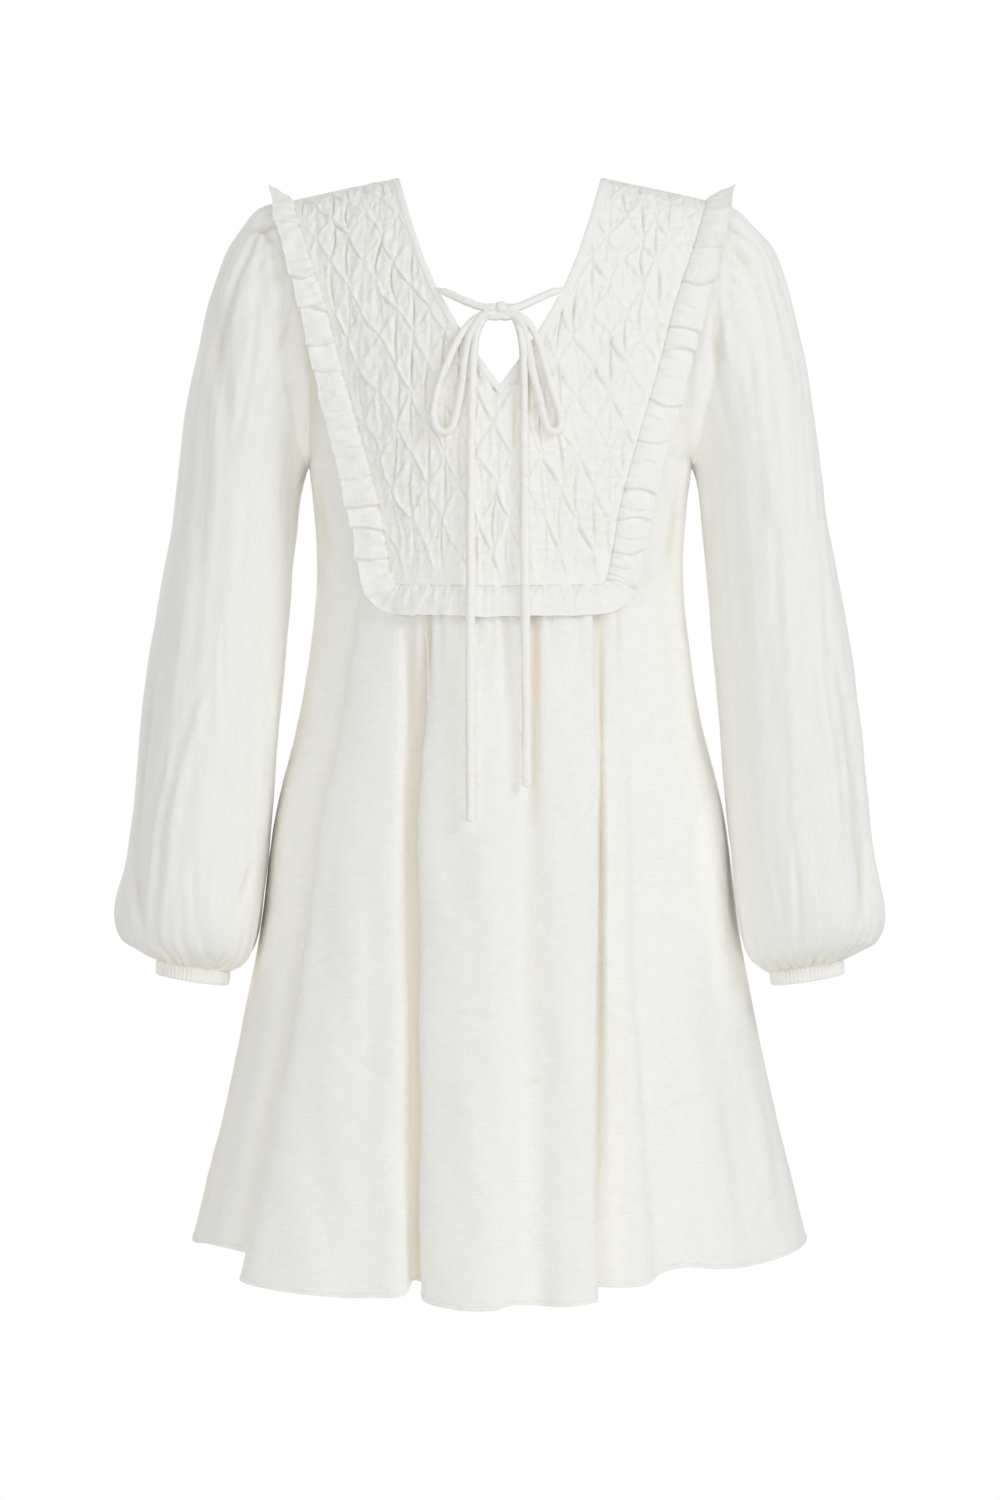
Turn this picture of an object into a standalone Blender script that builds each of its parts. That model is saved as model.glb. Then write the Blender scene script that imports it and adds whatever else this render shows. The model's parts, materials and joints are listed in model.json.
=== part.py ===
"""Smocked linen mini dress, kept in the shape it has when it is worn.

Metres, +Z up, the front faces -Y, and the origin is where the shoulders carry the dress: midway
between the two neck points. Every cut piece is a thin closed wall in its own object, SEAM away from
its neighbour. Left means the side at -X.
"""
import math

import bmesh
import bpy
import numpy as np
from mathutils import Vector

# ------------------------------------------------------------------ cloth and seams
CLOTH = 0.0015            # wall of the body, sleeve and cuff pieces
TRIM_CLOTH = 0.0010       # wall of the ruffle and the neck binding
SEAM = 0.0005             # air between pieces that meet at a seam
SHOULDER_DROOP = 1.25     # how a row bends down from its middle to its edges

# ------------------------------------------------------------------ trims
BINDING_WIDTH = 0.0050
BINDING_SEAM = 0.0008     # air between the binding and the cloth under it
BINDING_MITRE = 1.5       # its reach at the point of a neckline, in widths
RUFFLE_WIDTH = 0.0245
RUFFLE_LIFT_SIDE = 24.0   # degrees that the ruffle stands off the body at the sides
RUFFLE_LIFT_HEM = 12.0    # and along the bottom of the bib
RUFFLE_CORNER = 0.006     # radius of its turn at the lower corners of the bib
RUFFLE_SWELL = 0.0008     # how far its middle stands above a straight line from seam to edge
RUFFLE_WAVE = 0.0016      # half height of its pleats
RUFFLE_STEPS_PER_PLEAT = 4
RUFFLE_SIDE_ROWS = [k / 4 for k in range(25)] + [6.3 + 0.30625 * k for k in range(9)]
RUFFLE_TURNS = (0.2, 0.4, 0.6, 0.8)   # its stations in a lower corner, as shares of the turn
RUFFLE_HEM_STATIONS = 21
CUFF_GATHER = 0.0022      # half height of the gathers at the head and the cuff of a sleeve
ROULEAU = 0.0060          # thickness of the neck ties
KNOT_SIZE = (0.027, 0.014, 0.013)

# ------------------------------------------------------------------ colours
LINEN = (0.86, 0.85, 0.80, 1.0)
LINEN_TRIM = (0.88, 0.87, 0.83, 1.0)


def table(columns, rows):
    """Named columns of a short table, one row for each section."""
    return dict(zip(columns.split(), np.array(rows, dtype=float).T))


# Sections of the front from the shoulder seam (row 0) past the underarm (row 6) and the bib seam
# (row 9) to the hem. Rows 0 to 6 are a twelfth of a turn of the armhole apart. cut is the angle from
# the middle of the front to its edge; 90 is a side seam.
FRONT = table("edge_z mid_z half_width depth cut", [
    (-0.0220, +0.0110, 0.1780, 0.0000, 54),
    (-0.0350, -0.0010, 0.1705, 0.0450, 53),
    (-0.0740, -0.0470, 0.1595, 0.0750, 51),
    (-0.1270, -0.1100, 0.1520, 0.0960, 56),
    (-0.1800, -0.1710, 0.1500, 0.1080, 64),
    (-0.2190, -0.2170, 0.1505, 0.1130, 76),
    (-0.2330, -0.2345, 0.1510, 0.1140, 90),
    (-0.2650, -0.2680, 0.1475, 0.1135, 90),
    (-0.2960, -0.3000, 0.1452, 0.1120, 90),
    (-0.3275, -0.3320, 0.1453, 0.1110, 90),
    (-0.3680, -0.3740, 0.1492, 0.1135, 90),
    (-0.4300, -0.4370, 0.1585, 0.1190, 90),
    (-0.5100, -0.5185, 0.1780, 0.1275, 90),
    (-0.5950, -0.6050, 0.1890, 0.1370, 90),
    (-0.6800, -0.6915, 0.2045, 0.1465, 90),
    (-0.7650, -0.7780, 0.2232, 0.1560, 90),
    (-0.8480, -0.8620, 0.2440, 0.1650, 90)])

# The same rows of the back. Its edges meet the front's at the shoulder and at the side seam.
BACK = table("edge_z mid_z half_width depth cut", [
    (-0.0220, +0.0110, 0.1780, 0.0000, 54),
    (-0.0350, -0.0010, 0.1725, 0.0400, 50),
    (-0.0740, -0.0510, 0.1645, 0.0690, 47),
    (-0.1270, -0.1120, 0.1575, 0.0860, 50),
    (-0.1800, -0.1730, 0.1535, 0.0920, 58),
    (-0.2190, -0.2180, 0.1515, 0.0935, 73),
    (-0.2330, -0.2345, 0.1510, 0.0930, 90),
    (-0.2650, -0.2670, 0.1475, 0.0915, 90),
    (-0.2960, -0.2990, 0.1452, 0.0900, 90),
    (-0.3275, -0.3310, 0.1453, 0.0900, 90),
    (-0.3680, -0.3720, 0.1492, 0.0925, 90),
    (-0.4300, -0.4350, 0.1585, 0.0990, 90),
    (-0.5100, -0.5160, 0.1780, 0.1095, 90),
    (-0.5950, -0.6020, 0.1890, 0.1210, 90),
    (-0.6800, -0.6880, 0.2045, 0.1330, 90),
    (-0.7650, -0.7740, 0.2232, 0.1440, 90),
    (-0.8480, -0.8580, 0.2440, 0.1540, 90)])

ARMHOLE_ROWS = 6          # rows from the shoulder seam to the underarm
BIB_ROW = 9               # row of the seam along the bottom of the bib
HEM_ROW = 16
SHOULDER_ROW = 0.01       # row of the edges that meet at the shoulder seam
BIB_END_ROW = BIB_ROW - 0.022

# Rows that the walls have between a shoulder and the bib seam.
BODY_ROWS = [SHOULDER_ROW] + [k / 2 for k in range(1, 2 * ARMHOLE_ROWS)] + [6, 7, 8]
BIB_COLUMNS = 8           # faces across each half of the bib
FRONT_SKIRT_ROWS = [9, 9.5, 10, 10.7, 11.5, 12.3, 13.1, 13.9, 14.7, 15.4, 16]
BACK_SKIRT_ROWS = [9, 9.6, 10.3, 11.1, 12, 13, 14, 15, 16]

# Half widths, at a height, of the two necklines and of the seam around the bib.
FRONT_NECK = table("z half", [
    (0.0000, 0.0816), (-0.0160, 0.0770), (-0.0470, 0.0685), (-0.0760, 0.0590), (-0.0980, 0.0500),
    (-0.1150, 0.0412), (-0.1330, 0.0310), (-0.1560, 0.0160), (-0.1780, 0.0000)])
BACK_NECK = table("z half", [
    (0.0000, 0.0816), (-0.0200, 0.0800), (-0.0500, 0.0730), (-0.0800, 0.0635), (-0.1050, 0.0525),
    (-0.1300, 0.0395), (-0.1550, 0.0245), (-0.1880, 0.0000)])
BIB_SEAM = table("z half", [
    (-0.0170, 0.1655), (-0.0660, 0.1500), (-0.1120, 0.1345), (-0.1610, 0.1220), (-0.1950, 0.1120),
    (-0.2420, 0.0985), (-0.2700, 0.0915), (-0.3000, 0.0865), (-0.3320, 0.0810)])

# Fold lines of the skirt from the left side seam to the right one: where each line lies at the bib
# seam and at the hem, as a share of the quarter turn from the middle to a side seam, how far it
# stands off the plain flare at the hem, and how much lower its hem hangs. Two lines that change
# places at the hem make a fold that laps over.
FRONT_FOLDS = table("top hem out drop", [
    (-0.9985, -0.9985, +0.000, -0.001), (-0.860, -0.850, +0.002, -0.003),
    (-0.700, -0.684, +0.006, -0.009), (-0.560, -0.519, -0.017, +0.000),
    (-0.520, -0.550, +0.019, +0.008), (-0.450, -0.455, +0.022, +0.011),
    (-0.380, -0.357, +0.013, +0.012), (-0.340, -0.268, +0.006, +0.010),
    (-0.305, -0.193, -0.005, +0.008), (-0.270, -0.169, -0.042, -0.001),
    (-0.235, -0.147, +0.004, +0.011), (-0.150, -0.078, +0.014, +0.013),
    (-0.050, -0.013, +0.016, +0.012), (+0.030, +0.020, +0.011, +0.009),
    (+0.105, +0.070, +0.004, +0.011), (+0.200, +0.118, +0.012, +0.012),
    (+0.280, +0.158, +0.014, +0.011), (+0.335, +0.186, +0.007, +0.009),
    (+0.350, +0.174, -0.018, +0.004), (+0.380, +0.240, -0.011, +0.007),
    (+0.415, +0.304, -0.011, +0.005), (+0.450, +0.315, -0.026, +0.002),
    (+0.540, +0.404, -0.018, -0.002), (+0.640, +0.508, -0.008, +0.002),
    (+0.760, +0.650, -0.010, +0.005), (+0.880, +0.810, -0.004, +0.003),
    (+0.9985, +0.9985, +0.000, +0.001)])
BACK_FOLDS = table("top hem out drop", [
    (-0.9985, -0.9985, +0.000, -0.001), (-0.860, -0.850, +0.005, +0.001),
    (-0.700, -0.700, -0.008, +0.000), (-0.560, -0.575, +0.012, +0.004),
    (-0.430, -0.455, +0.010, +0.004), (-0.320, -0.350, -0.014, +0.002),
    (-0.230, -0.255, +0.009, +0.005), (-0.130, -0.150, +0.013, +0.006),
    (-0.060, -0.060, -0.006, +0.004), (+0.000, +0.010, -0.009, +0.004),
    (+0.080, +0.085, +0.010, +0.006), (+0.190, +0.185, +0.015, +0.006),
    (+0.300, +0.275, -0.005, +0.004), (+0.370, +0.355, -0.012, +0.003),
    (+0.480, +0.470, +0.011, +0.004), (+0.620, +0.600, +0.012, +0.003),
    (+0.760, +0.735, -0.007, +0.000), (+0.880, +0.870, +0.004, +0.001),
    (+0.9985, +0.9985, +0.000, +0.001)])
FRONT_GROWTH = 0.85       # power by which a fold deepens from its start to the hem
BACK_GROWTH = 1.5

# Rings of the left sleeve under the armhole seam, down to the cuff: the highest or outer point,
# the inner point next to the body, half its depth and where its middle lies. x grows outwards.
SLEEVE = table("outer_x outer_z inner_x inner_z half_depth mid_y gather", [
    (0.1855, -0.0250, 0.1560, -0.2325, 0.0530, -0.0000, 0.6),
    (0.1980, -0.0340, 0.1565, -0.2340, 0.0545, -0.0005, 1.0),
    (0.2175, -0.0600, 0.1580, -0.2370, 0.0560, -0.0010, 0.7),
    (0.2325, -0.1060, 0.1600, -0.2435, 0.0560, -0.0020, 0.4),
    (0.2475, -0.1850, 0.1630, -0.2630, 0.0550, -0.0050, 0.2),
    (0.2580, -0.2680, 0.1652, -0.2980, 0.0556, -0.0098, 0.2),
    (0.2722, -0.3520, 0.1694, -0.3580, 0.0580, -0.0163, 0.2),
    (0.2820, -0.4230, 0.1752, -0.4250, 0.0591, -0.0219, 0.3),
    (0.2872, -0.4850, 0.1796, -0.4860, 0.0600, -0.0267, 0.6),
    (0.2925, -0.5430, 0.1848, -0.5450, 0.0598, -0.0315, 1.0),
    (0.3020, -0.5830, 0.1890, -0.5880, 0.0560, -0.0338, 1.4),
    (0.2975, -0.6050, 0.1940, -0.6110, 0.0460, -0.0345, 1.3),
    (0.2830, -0.6140, 0.2010, -0.6230, 0.0330, -0.0350, 0.8),
    (0.2698, -0.6200, 0.2125, -0.6290, 0.0255, -0.0350, 0.2),
    (0.2692, -0.6222, 0.2140, -0.6312, 0.0250, -0.0350, 0.0)])
SLEEVE_POINTS = 24        # points around a sleeve; even ones ride up on its gathers
CUFF_GAP = 0.0010         # from the end of a sleeve to its cuff
CUFF_DROP = 0.0108        # height of the cuff band

# Routes of the neck ties: x, z, and how far the middle of the cord lies in front of the bib.
STRANDS = {
    "left": [(-0.0430, -0.1048, 0.0040), (-0.0370, -0.1078, 0.0055), (-0.0260, -0.1135, 0.0075),
             (-0.0136, -0.1183, 0.0091)],
    "right": [(0.0430, -0.1046, 0.0040), (0.0370, -0.1070, 0.0055), (0.0260, -0.1126, 0.0075),
              (0.0136, -0.1183, 0.0091)]}
LOOPS = {
    "left": [(-0.0120, -0.1235, 0.0090), (-0.0205, -0.1290, 0.0095), (-0.0300, -0.1400, 0.0090),
             (-0.0390, -0.1580, 0.0080), (-0.0465, -0.1770, 0.0070), (-0.0507, -0.1940, 0.0066),
             (-0.0500, -0.2070, 0.0064), (-0.0436, -0.2150, 0.0064), (-0.0356, -0.2105, 0.0066),
             (-0.0316, -0.1960, 0.0070), (-0.0296, -0.1780, 0.0076), (-0.0268, -0.1580, 0.0088),
             (-0.0200, -0.1405, 0.0104), (-0.0112, -0.1283, 0.0118)],
    "right": [(0.0120, -0.1235, 0.0090), (0.0210, -0.1300, 0.0095), (0.0290, -0.1440, 0.0090),
              (0.0345, -0.1640, 0.0080), (0.0400, -0.1830, 0.0070), (0.0450, -0.1980, 0.0066),
              (0.0465, -0.2090, 0.0064), (0.0420, -0.2140, 0.0064), (0.0355, -0.2060, 0.0066),
              (0.0300, -0.1890, 0.0072), (0.0258, -0.1680, 0.0082), (0.0220, -0.1490, 0.0096),
              (0.0172, -0.1350, 0.0108), (0.0112, -0.1283, 0.0118)]}
TAILS = {
    "left": [(-0.0028, -0.1270, 0.0092), (-0.0085, -0.1370, 0.0100), (-0.0165, -0.1500, 0.0100),
             (-0.0205, -0.1700, 0.0090), (-0.0216, -0.2000, 0.0070), (-0.0222, -0.2366, 0.0060),
             (-0.0224, -0.2900, 0.0066), (-0.0224, -0.3300, 0.0110), (-0.0226, -0.3650, 0.0135),
             (-0.0228, -0.4100, 0.0150), (-0.0226, -0.4600, 0.0155), (-0.0224, -0.5120, 0.0160)],
    "right": [(0.0028, -0.1270, 0.0092), (0.0082, -0.1370, 0.0100), (0.0150, -0.1500, 0.0100),
              (0.0178, -0.1720, 0.0090), (0.0184, -0.2000, 0.0070), (0.0184, -0.2366, 0.0060),
              (0.0186, -0.2900, 0.0066), (0.0190, -0.3300, 0.0110), (0.0193, -0.3650, 0.0125),
              (0.0195, -0.4000, 0.0130), (0.0198, -0.4400, 0.0130), (0.0200, -0.4860, 0.0130)]}
KNOT_SPOT = (0.0, -0.1190, 0.0092)
TIE_POINTS = {"strand": 12, "loop": 34, "tail": 44}


# ------------------------------------------------------------------ reading the tables
def read(sections, column, row):
    """Value of a column at a fractional row, on a smooth curve through the rows."""
    values = sections[column]
    last = len(values) - 1
    i = min(int(row), last - 1)
    t = row - i
    before, here, after, beyond = (values[max(0, min(last, i + k))] for k in (-1, 0, 1, 2))
    slope_here = (after - before) / 2
    slope_after = (beyond - here) / 2
    return ((2 * t**3 - 3 * t**2 + 1) * here + (t**3 - 2 * t**2 + t) * slope_here
            + (3 * t**2 - 2 * t**3) * after + (t**3 - t**2) * slope_after)


def half_at(outline, z):
    """Half width of an outline at height z, and 0 below its lowest point if it closes there."""
    return float(np.interp(-z, -outline["z"], outline["half"]))


def smooth_route(points, count):
    """The given number of points, evenly spaced, on a smooth curve through a route's points."""
    route = table("x y z", points)
    fine = np.linspace(0, len(points) - 1, 20 * len(points))
    curve = np.array([[read(route, axis, row) for axis in ("x", "y", "z")] for row in fine])
    steps = np.linalg.norm(np.diff(curve, axis=0), axis=1)
    along = np.concatenate([[0], np.cumsum(steps)])
    wanted = np.linspace(0, along[-1], count)
    return [Vector([np.interp(s, along, curve[:, axis]) for axis in range(3)]) for s in wanted]


# ------------------------------------------------------------------ body surface
def panel_point(panel, across, row, out=0.0):
    """Point of the front or back; across runs from -1 to 1 between its edges, out is proud of it."""
    sections, side = panel
    cut = math.radians(read(sections, "cut", row))
    half = read(sections, "half_width", row)
    depth = read(sections, "depth", row)
    share = math.sin(cut * across) / math.sin(cut)
    edge_z = read(sections, "edge_z", row)
    mid_z = read(sections, "mid_z", row)
    point = Vector((half * share, side * depth * math.cos(cut * across),
                    mid_z + (edge_z - mid_z) * abs(share) ** SHOULDER_DROOP))
    if out:
        away = Vector((math.sin(cut * across) * depth, side * math.cos(cut * across) * half, 0))
        point += away.normalized() * out
    return point


FRONT_PANEL = (FRONT, -1)
BACK_PANEL = (BACK, +1)


def panel_normal(panel, across, row):
    """Outward unit normal of the plain body surface."""
    step = 0.02
    low = max(row - step, 0.0)
    right = panel_point(panel, across + step, row) - panel_point(panel, across - step, row)
    down = panel_point(panel, across, row + step) - panel_point(panel, across, low)
    normal = down.cross(right).normalized()
    facing = Vector((across * 0.5, panel[1], 0.8))
    return normal if normal.dot(facing) > 0 else -normal


def across_at(panel, outline, row):
    """Where an outline crosses a row, as a share from the middle of the panel to its edge."""
    across = 0.5
    for _ in range(40):
        x = half_at(outline, panel_point(panel, across, row).z)
        cut = math.radians(read(panel[0], "cut", row))
        share = x / read(panel[0], "half_width", row)
        across += 0.5 * (math.asin(min(1.0, share * math.sin(cut))) / cut - across)
    return across if across > 1e-4 else 0.0


def row_of_point(panel, outline):
    """Row in which a neckline comes to its point."""
    rows = np.linspace(0, BIB_ROW, 2000)
    heights = [panel_point(panel, 0, row).z for row in rows]
    return float(np.interp(-outline["z"][-1], -np.array(heights), rows))


def front_spot(x, z, out):
    """Point at x and z, the given distance in front of the plain front."""
    rows = np.linspace(0, HEM_ROW, 400)
    spots = []
    for row in rows:
        cut = math.radians(read(FRONT, "cut", row))
        share = max(-1.0, min(1.0, x / read(FRONT, "half_width", row)))
        spots.append(panel_point(FRONT_PANEL, math.asin(share * math.sin(cut)) / cut, row))
    y = np.interp(-z, [-spot.z for spot in spots], [spot.y for spot in spots])
    return (x, float(y) - out, z)


# ------------------------------------------------------------------ meshes and objects
def finish_material(name, colour):
    """Principled material of one piece."""
    material = bpy.data.materials.new(name)
    material.use_nodes = True
    shader = material.node_tree.nodes["Principled BSDF"]
    shader.inputs["Base Color"].default_value = colour
    shader.inputs["Roughness"].default_value = 0.85
    shader.inputs["Metallic"].default_value = 0.0
    material.diffuse_color = colour
    return material


def place(obj, colour):
    """Puts an object into the dress, under the empty that the shoulders carry."""
    DRESS.objects.link(obj)
    obj.parent = SHOULDERS
    obj.data.materials.append(finish_material(obj.name + "_linen", colour))
    return obj


def shell(name, grids, wall, colour, closed=False, inside=Vector((0, 0, -0.4))):
    """Closed wall over one or more grids of points that share their common edges.

    The grids are the side next to the body, and Solidify adds the wall outwards from there.
    """
    bm = bmesh.new()
    for grid in grids:
        verts = [[bm.verts.new(point) for point in line] for line in grid]
        for upper, lower in zip(verts, verts[1:]):
            count = len(upper)
            for i in range(count if closed else count - 1):
                j = (i + 1) % count
                bm.faces.new((upper[i], upper[j], lower[j], lower[i]))
    bmesh.ops.remove_doubles(bm, verts=bm.verts, dist=1e-5)
    bm.normal_update()
    if sum(face.normal.dot(face.calc_center_median() - inside) for face in bm.faces) < 0:
        bmesh.ops.reverse_faces(bm, faces=bm.faces)
    mesh = bpy.data.meshes.new(name)
    bm.to_mesh(mesh)
    bm.free()
    obj = bpy.data.objects.new(name, mesh)
    thickness = obj.modifiers.new("cloth", "SOLIDIFY")
    thickness.thickness = wall
    thickness.offset = 1.0
    return place(obj, colour)


# ------------------------------------------------------------------ front and back
def fold_point(panel, folds, line, row, start, growth):
    """Point of a fold line of the skirt; its fold begins at the start row."""
    run = (row - BIB_ROW) / (HEM_ROW - BIB_ROW)
    fall = (row - start) / (HEM_ROW - start)
    across = folds["top"][line] + (folds["hem"][line] - folds["top"][line]) * run
    point = panel_point(panel, across, row, folds["out"][line] * fall ** growth)
    point.z -= folds["drop"][line] * fall
    return point


def rows_to_point(rows, point_row):
    """The given rows with the row of a neckline's point in place of the nearest one."""
    nearest = min(rows, key=lambda row: abs(row - point_row))
    return [point_row if row == nearest else row for row in rows]


def add_front_panel():
    """Body and skirt in one piece, with the bib cut out of its top and a strap left at each side."""
    tops = FRONT_FOLDS["top"]
    corner = across_at(FRONT_PANEL, BIB_SEAM, BIB_ROW)
    skirt = [[fold_point(FRONT_PANEL, FRONT_FOLDS, i, row, BIB_ROW, FRONT_GROWTH)
              for i in range(len(tops))] for row in FRONT_SKIRT_ROWS]
    grids = [skirt]
    for side in (-1, 1):
        strap = [i for i in range(len(tops)) if side * tops[i] > corner - 0.01]
        shares = [max((abs(tops[i]) - corner) / (1 - corner), 0.0) for i in strap]
        grid = []
        for row in BODY_ROWS:
            seam = across_at(FRONT_PANEL, BIB_SEAM, row)
            seam += SEAM / 2 / read(FRONT, "half_width", row)
            grid.append([panel_point(FRONT_PANEL, side * (seam + share * (1 - seam)), row)
                         for share in shares])
        grid.append([skirt[0][i] for i in strap])
        grids.append(grid)
    shell("front_panel", grids, CLOTH, LINEN)


def add_back_panel():
    """Plain back with the same deep neckline, flared and folded like the front."""
    point_row = row_of_point(BACK_PANEL, BACK_NECK)
    tops = BACK_FOLDS["top"]
    grids = []
    for side in (-1, 1):
        half = [i for i in range(len(tops)) if side * tops[i] >= 0]
        grid = []
        for row in rows_to_point(BODY_ROWS, point_row):
            neck = across_at(BACK_PANEL, BACK_NECK, row) if row < point_row else 0.0
            grid.append([panel_point(BACK_PANEL, side * (neck + abs(tops[i]) * (1 - neck)), row)
                         for i in half])
        for row in BACK_SKIRT_ROWS:
            grid.append([fold_point(BACK_PANEL, BACK_FOLDS, i, row, BACK_SKIRT_ROWS[0], BACK_GROWTH)
                         for i in half])
        grids.append(grid)
    shell("back_panel", grids, CLOTH, LINEN)


# ------------------------------------------------------------------ bib, binding and ruffle
def add_bib():
    """Smocked front between the neckline and the bib seam, one half mirrored."""
    point_row = row_of_point(FRONT_PANEL, FRONT_NECK)
    rows = rows_to_point(BODY_ROWS, point_row) + [BIB_END_ROW]
    grid = []
    for row in rows:
        neck = across_at(FRONT_PANEL, FRONT_NECK, row) if row < point_row else 0.0
        seam = across_at(FRONT_PANEL, BIB_SEAM, row)
        seam -= SEAM / 2 / read(FRONT, "half_width", row)
        grid.append([panel_point(FRONT_PANEL, neck + k / BIB_COLUMNS * (seam - neck), row)
                     for k in range(BIB_COLUMNS + 1)])
    bib = shell("bib_front", [grid], CLOTH, LINEN, inside=Vector((0.05, 0, -0.2)))
    other_half = bib.modifiers.new("other_half", "MIRROR")
    other_half.merge_threshold = 0.0001
    bib.modifiers.move(1, 0)


def neckline(panel, outline, side, rows):
    """Points of a neckline at the given rows, with the outward normal and the way into the cloth."""
    stations = []
    for row in rows:
        across = across_at(panel, outline, row)
        point = panel_point(panel, side * across, row)
        step = 0.05
        ahead = across_at(panel, outline, row + step)
        behind_row = max(row - step, 0.0)
        behind = across_at(panel, outline, behind_row)
        run = panel_point(panel, side * ahead, row + step)
        run -= panel_point(panel, side * behind, behind_row)
        normal = panel_normal(panel, side * across, row)
        into = run.cross(normal).normalized()
        if into.x * side < 0:
            into = -into
        stations.append((point, normal, into))
    return stations


def add_neck_binding():
    """Narrow strip around the whole neckline, on top of the bib and the back."""
    loop = []
    for panel, outline, order in ((FRONT_PANEL, FRONT_NECK, (-1, 1)), (BACK_PANEL, BACK_NECK, (1, -1))):
        point_row = row_of_point(panel, outline)
        rows = [0.0] + [row for row in BODY_ROWS if row > 0.4 and row < point_row - 0.2]
        down, up = order
        arrive = neckline(panel, outline, down, rows)
        leave = neckline(panel, outline, up, rows)[::-1]
        tip = panel_point(panel, 0, point_row)
        tip_normal = panel_normal(panel, 0, point_row)
        tip_into = (panel_point(panel, 0, point_row + 0.2) - tip).normalized() * BINDING_MITRE
        loop += arrive[1:] + [(tip, tip_normal, tip_into)] + leave[:-1]
        bridge = leave[-1]
        loop.append((bridge[0], Vector((0, 0, 1)), Vector((up, 0, -0.15)).normalized()))
    lift = CLOTH + BINDING_SEAM
    inner = [point + normal * lift for point, normal, into in loop]
    outer = [point + normal * lift + into * BINDING_WIDTH for point, normal, into in loop]
    shell("neck_binding", [[inner, outer]], TRIM_CLOTH, LINEN_TRIM, closed=True)


def ruffle_station(side, across, row, turn):
    """Root of the ruffle on the seam, the body's normal there and the way the strip points.

    turn is 0 where the ruffle points sideways and 1 where it points down.
    """
    step = 0.02
    point = panel_point(FRONT_PANEL, side * across, row)
    normal = panel_normal(FRONT_PANEL, side * across, row)
    if turn == 0:
        seam = across_at(FRONT_PANEL, BIB_SEAM, row + step)
        seam_run = panel_point(FRONT_PANEL, side * seam, row + step) - point
        sideways = (normal.cross(seam_run) * side).normalized()
    else:
        sideways = (panel_point(FRONT_PANEL, side * (across + step), row) - point).normalized()
    if sideways.x * side < 0:
        sideways = -sideways
    below = (panel_point(FRONT_PANEL, side * across, row + step) - point).normalized()
    angle = turn * math.pi / 2
    flat = sideways * math.cos(angle) + below * math.sin(angle)
    lift = math.radians(RUFFLE_LIFT_SIDE + (RUFFLE_LIFT_HEM - RUFFLE_LIFT_SIDE) * turn)
    return point, normal, flat * math.cos(lift) + normal * math.sin(lift)


def ruffle_stations():
    """Stations down the left seam, round the corners, along the bottom and up the right seam."""
    corner = across_at(FRONT_PANEL, BIB_SEAM, BIB_ROW)
    row_height = FRONT["edge_z"][BIB_ROW - 1] - FRONT["edge_z"][BIB_ROW]
    corner_rows = RUFFLE_CORNER / row_height
    corner_share = RUFFLE_CORNER / FRONT["half_width"][BIB_ROW]
    left = [ruffle_station(-1, across_at(FRONT_PANEL, BIB_SEAM, row), row, 0)
            for row in RUFFLE_SIDE_ROWS]
    for turn in RUFFLE_TURNS:
        angle = turn * math.pi / 2
        across = corner - corner_share * (1 - math.cos(angle)) * 0.8
        left.append(ruffle_station(-1, across, BIB_ROW - corner_rows * (1 - math.sin(angle)), turn))
    reach = corner - corner_share
    bottom = [ruffle_station(math.copysign(1, across), abs(across), BIB_ROW, 1)
              for across in np.linspace(-reach, reach, RUFFLE_HEM_STATIONS)]
    mirror = Vector((-1, 1, 1))
    right = [tuple(part * mirror for part in station) for station in left[::-1]]
    return left + bottom + right


def add_ruffle():
    """One gathered strip in the seam around the bib, lying on the straps and the skirt."""
    lines = []
    for k, (point, normal, flat) in enumerate(ruffle_stations()):
        wave = RUFFLE_WAVE * math.cos(2 * math.pi * k / RUFFLE_STEPS_PER_PLEAT)
        root = point + normal * (CLOTH + SEAM)
        middle = root + flat * RUFFLE_WIDTH / 2 + normal * (wave / 2 + RUFFLE_SWELL)
        edge = root + flat * RUFFLE_WIDTH + normal * wave
        lines.append([root, middle, edge])
    shell("bib_ruffle", [lines], TRIM_CLOTH, LINEN_TRIM)


# ------------------------------------------------------------------ sleeves
def armhole_ring(side):
    """The armhole seam on the outer face of the body, from the shoulder round by the front."""
    ring = []
    for k in range(SLEEVE_POINTS):
        turn = k / SLEEVE_POINTS
        panel = FRONT_PANEL if turn <= 0.5 else BACK_PANEL
        row = 2 * ARMHOLE_ROWS * min(turn, 1 - turn)
        normal = panel_normal(panel, side, row)
        if turn in (0.0, 0.5):
            normal = Vector((0.3 * side, 0, 1)) if turn == 0.0 else Vector((side, 0, 0))
        ring.append(panel_point(panel, side, row) + normal.normalized() * (CLOTH + SEAM))
    return ring


def sleeve_ring(side, row):
    """Ring of a sleeve through its outer and inner points."""
    outer = Vector((read(SLEEVE, "outer_x", row), 0, read(SLEEVE, "outer_z", row)))
    inner = Vector((read(SLEEVE, "inner_x", row), 0, read(SLEEVE, "inner_z", row)))
    middle = (outer + inner) / 2 + Vector((0, read(SLEEVE, "mid_y", row), 0))
    arm = (outer - inner) / 2
    half_depth = read(SLEEVE, "half_depth", row)
    gather = CUFF_GATHER * read(SLEEVE, "gather", row)
    ring = []
    for k in range(SLEEVE_POINTS):
        angle = 2 * math.pi * k / SLEEVE_POINTS
        away = arm * math.cos(angle) + Vector((0, -half_depth * math.sin(angle), 0))
        reach = 1 + gather * (-1) ** k * abs(math.cos(angle / 2)) / away.length
        point = middle + away * reach
        ring.append(Vector((side * point.x, point.y, point.z)))
    return ring


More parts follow.
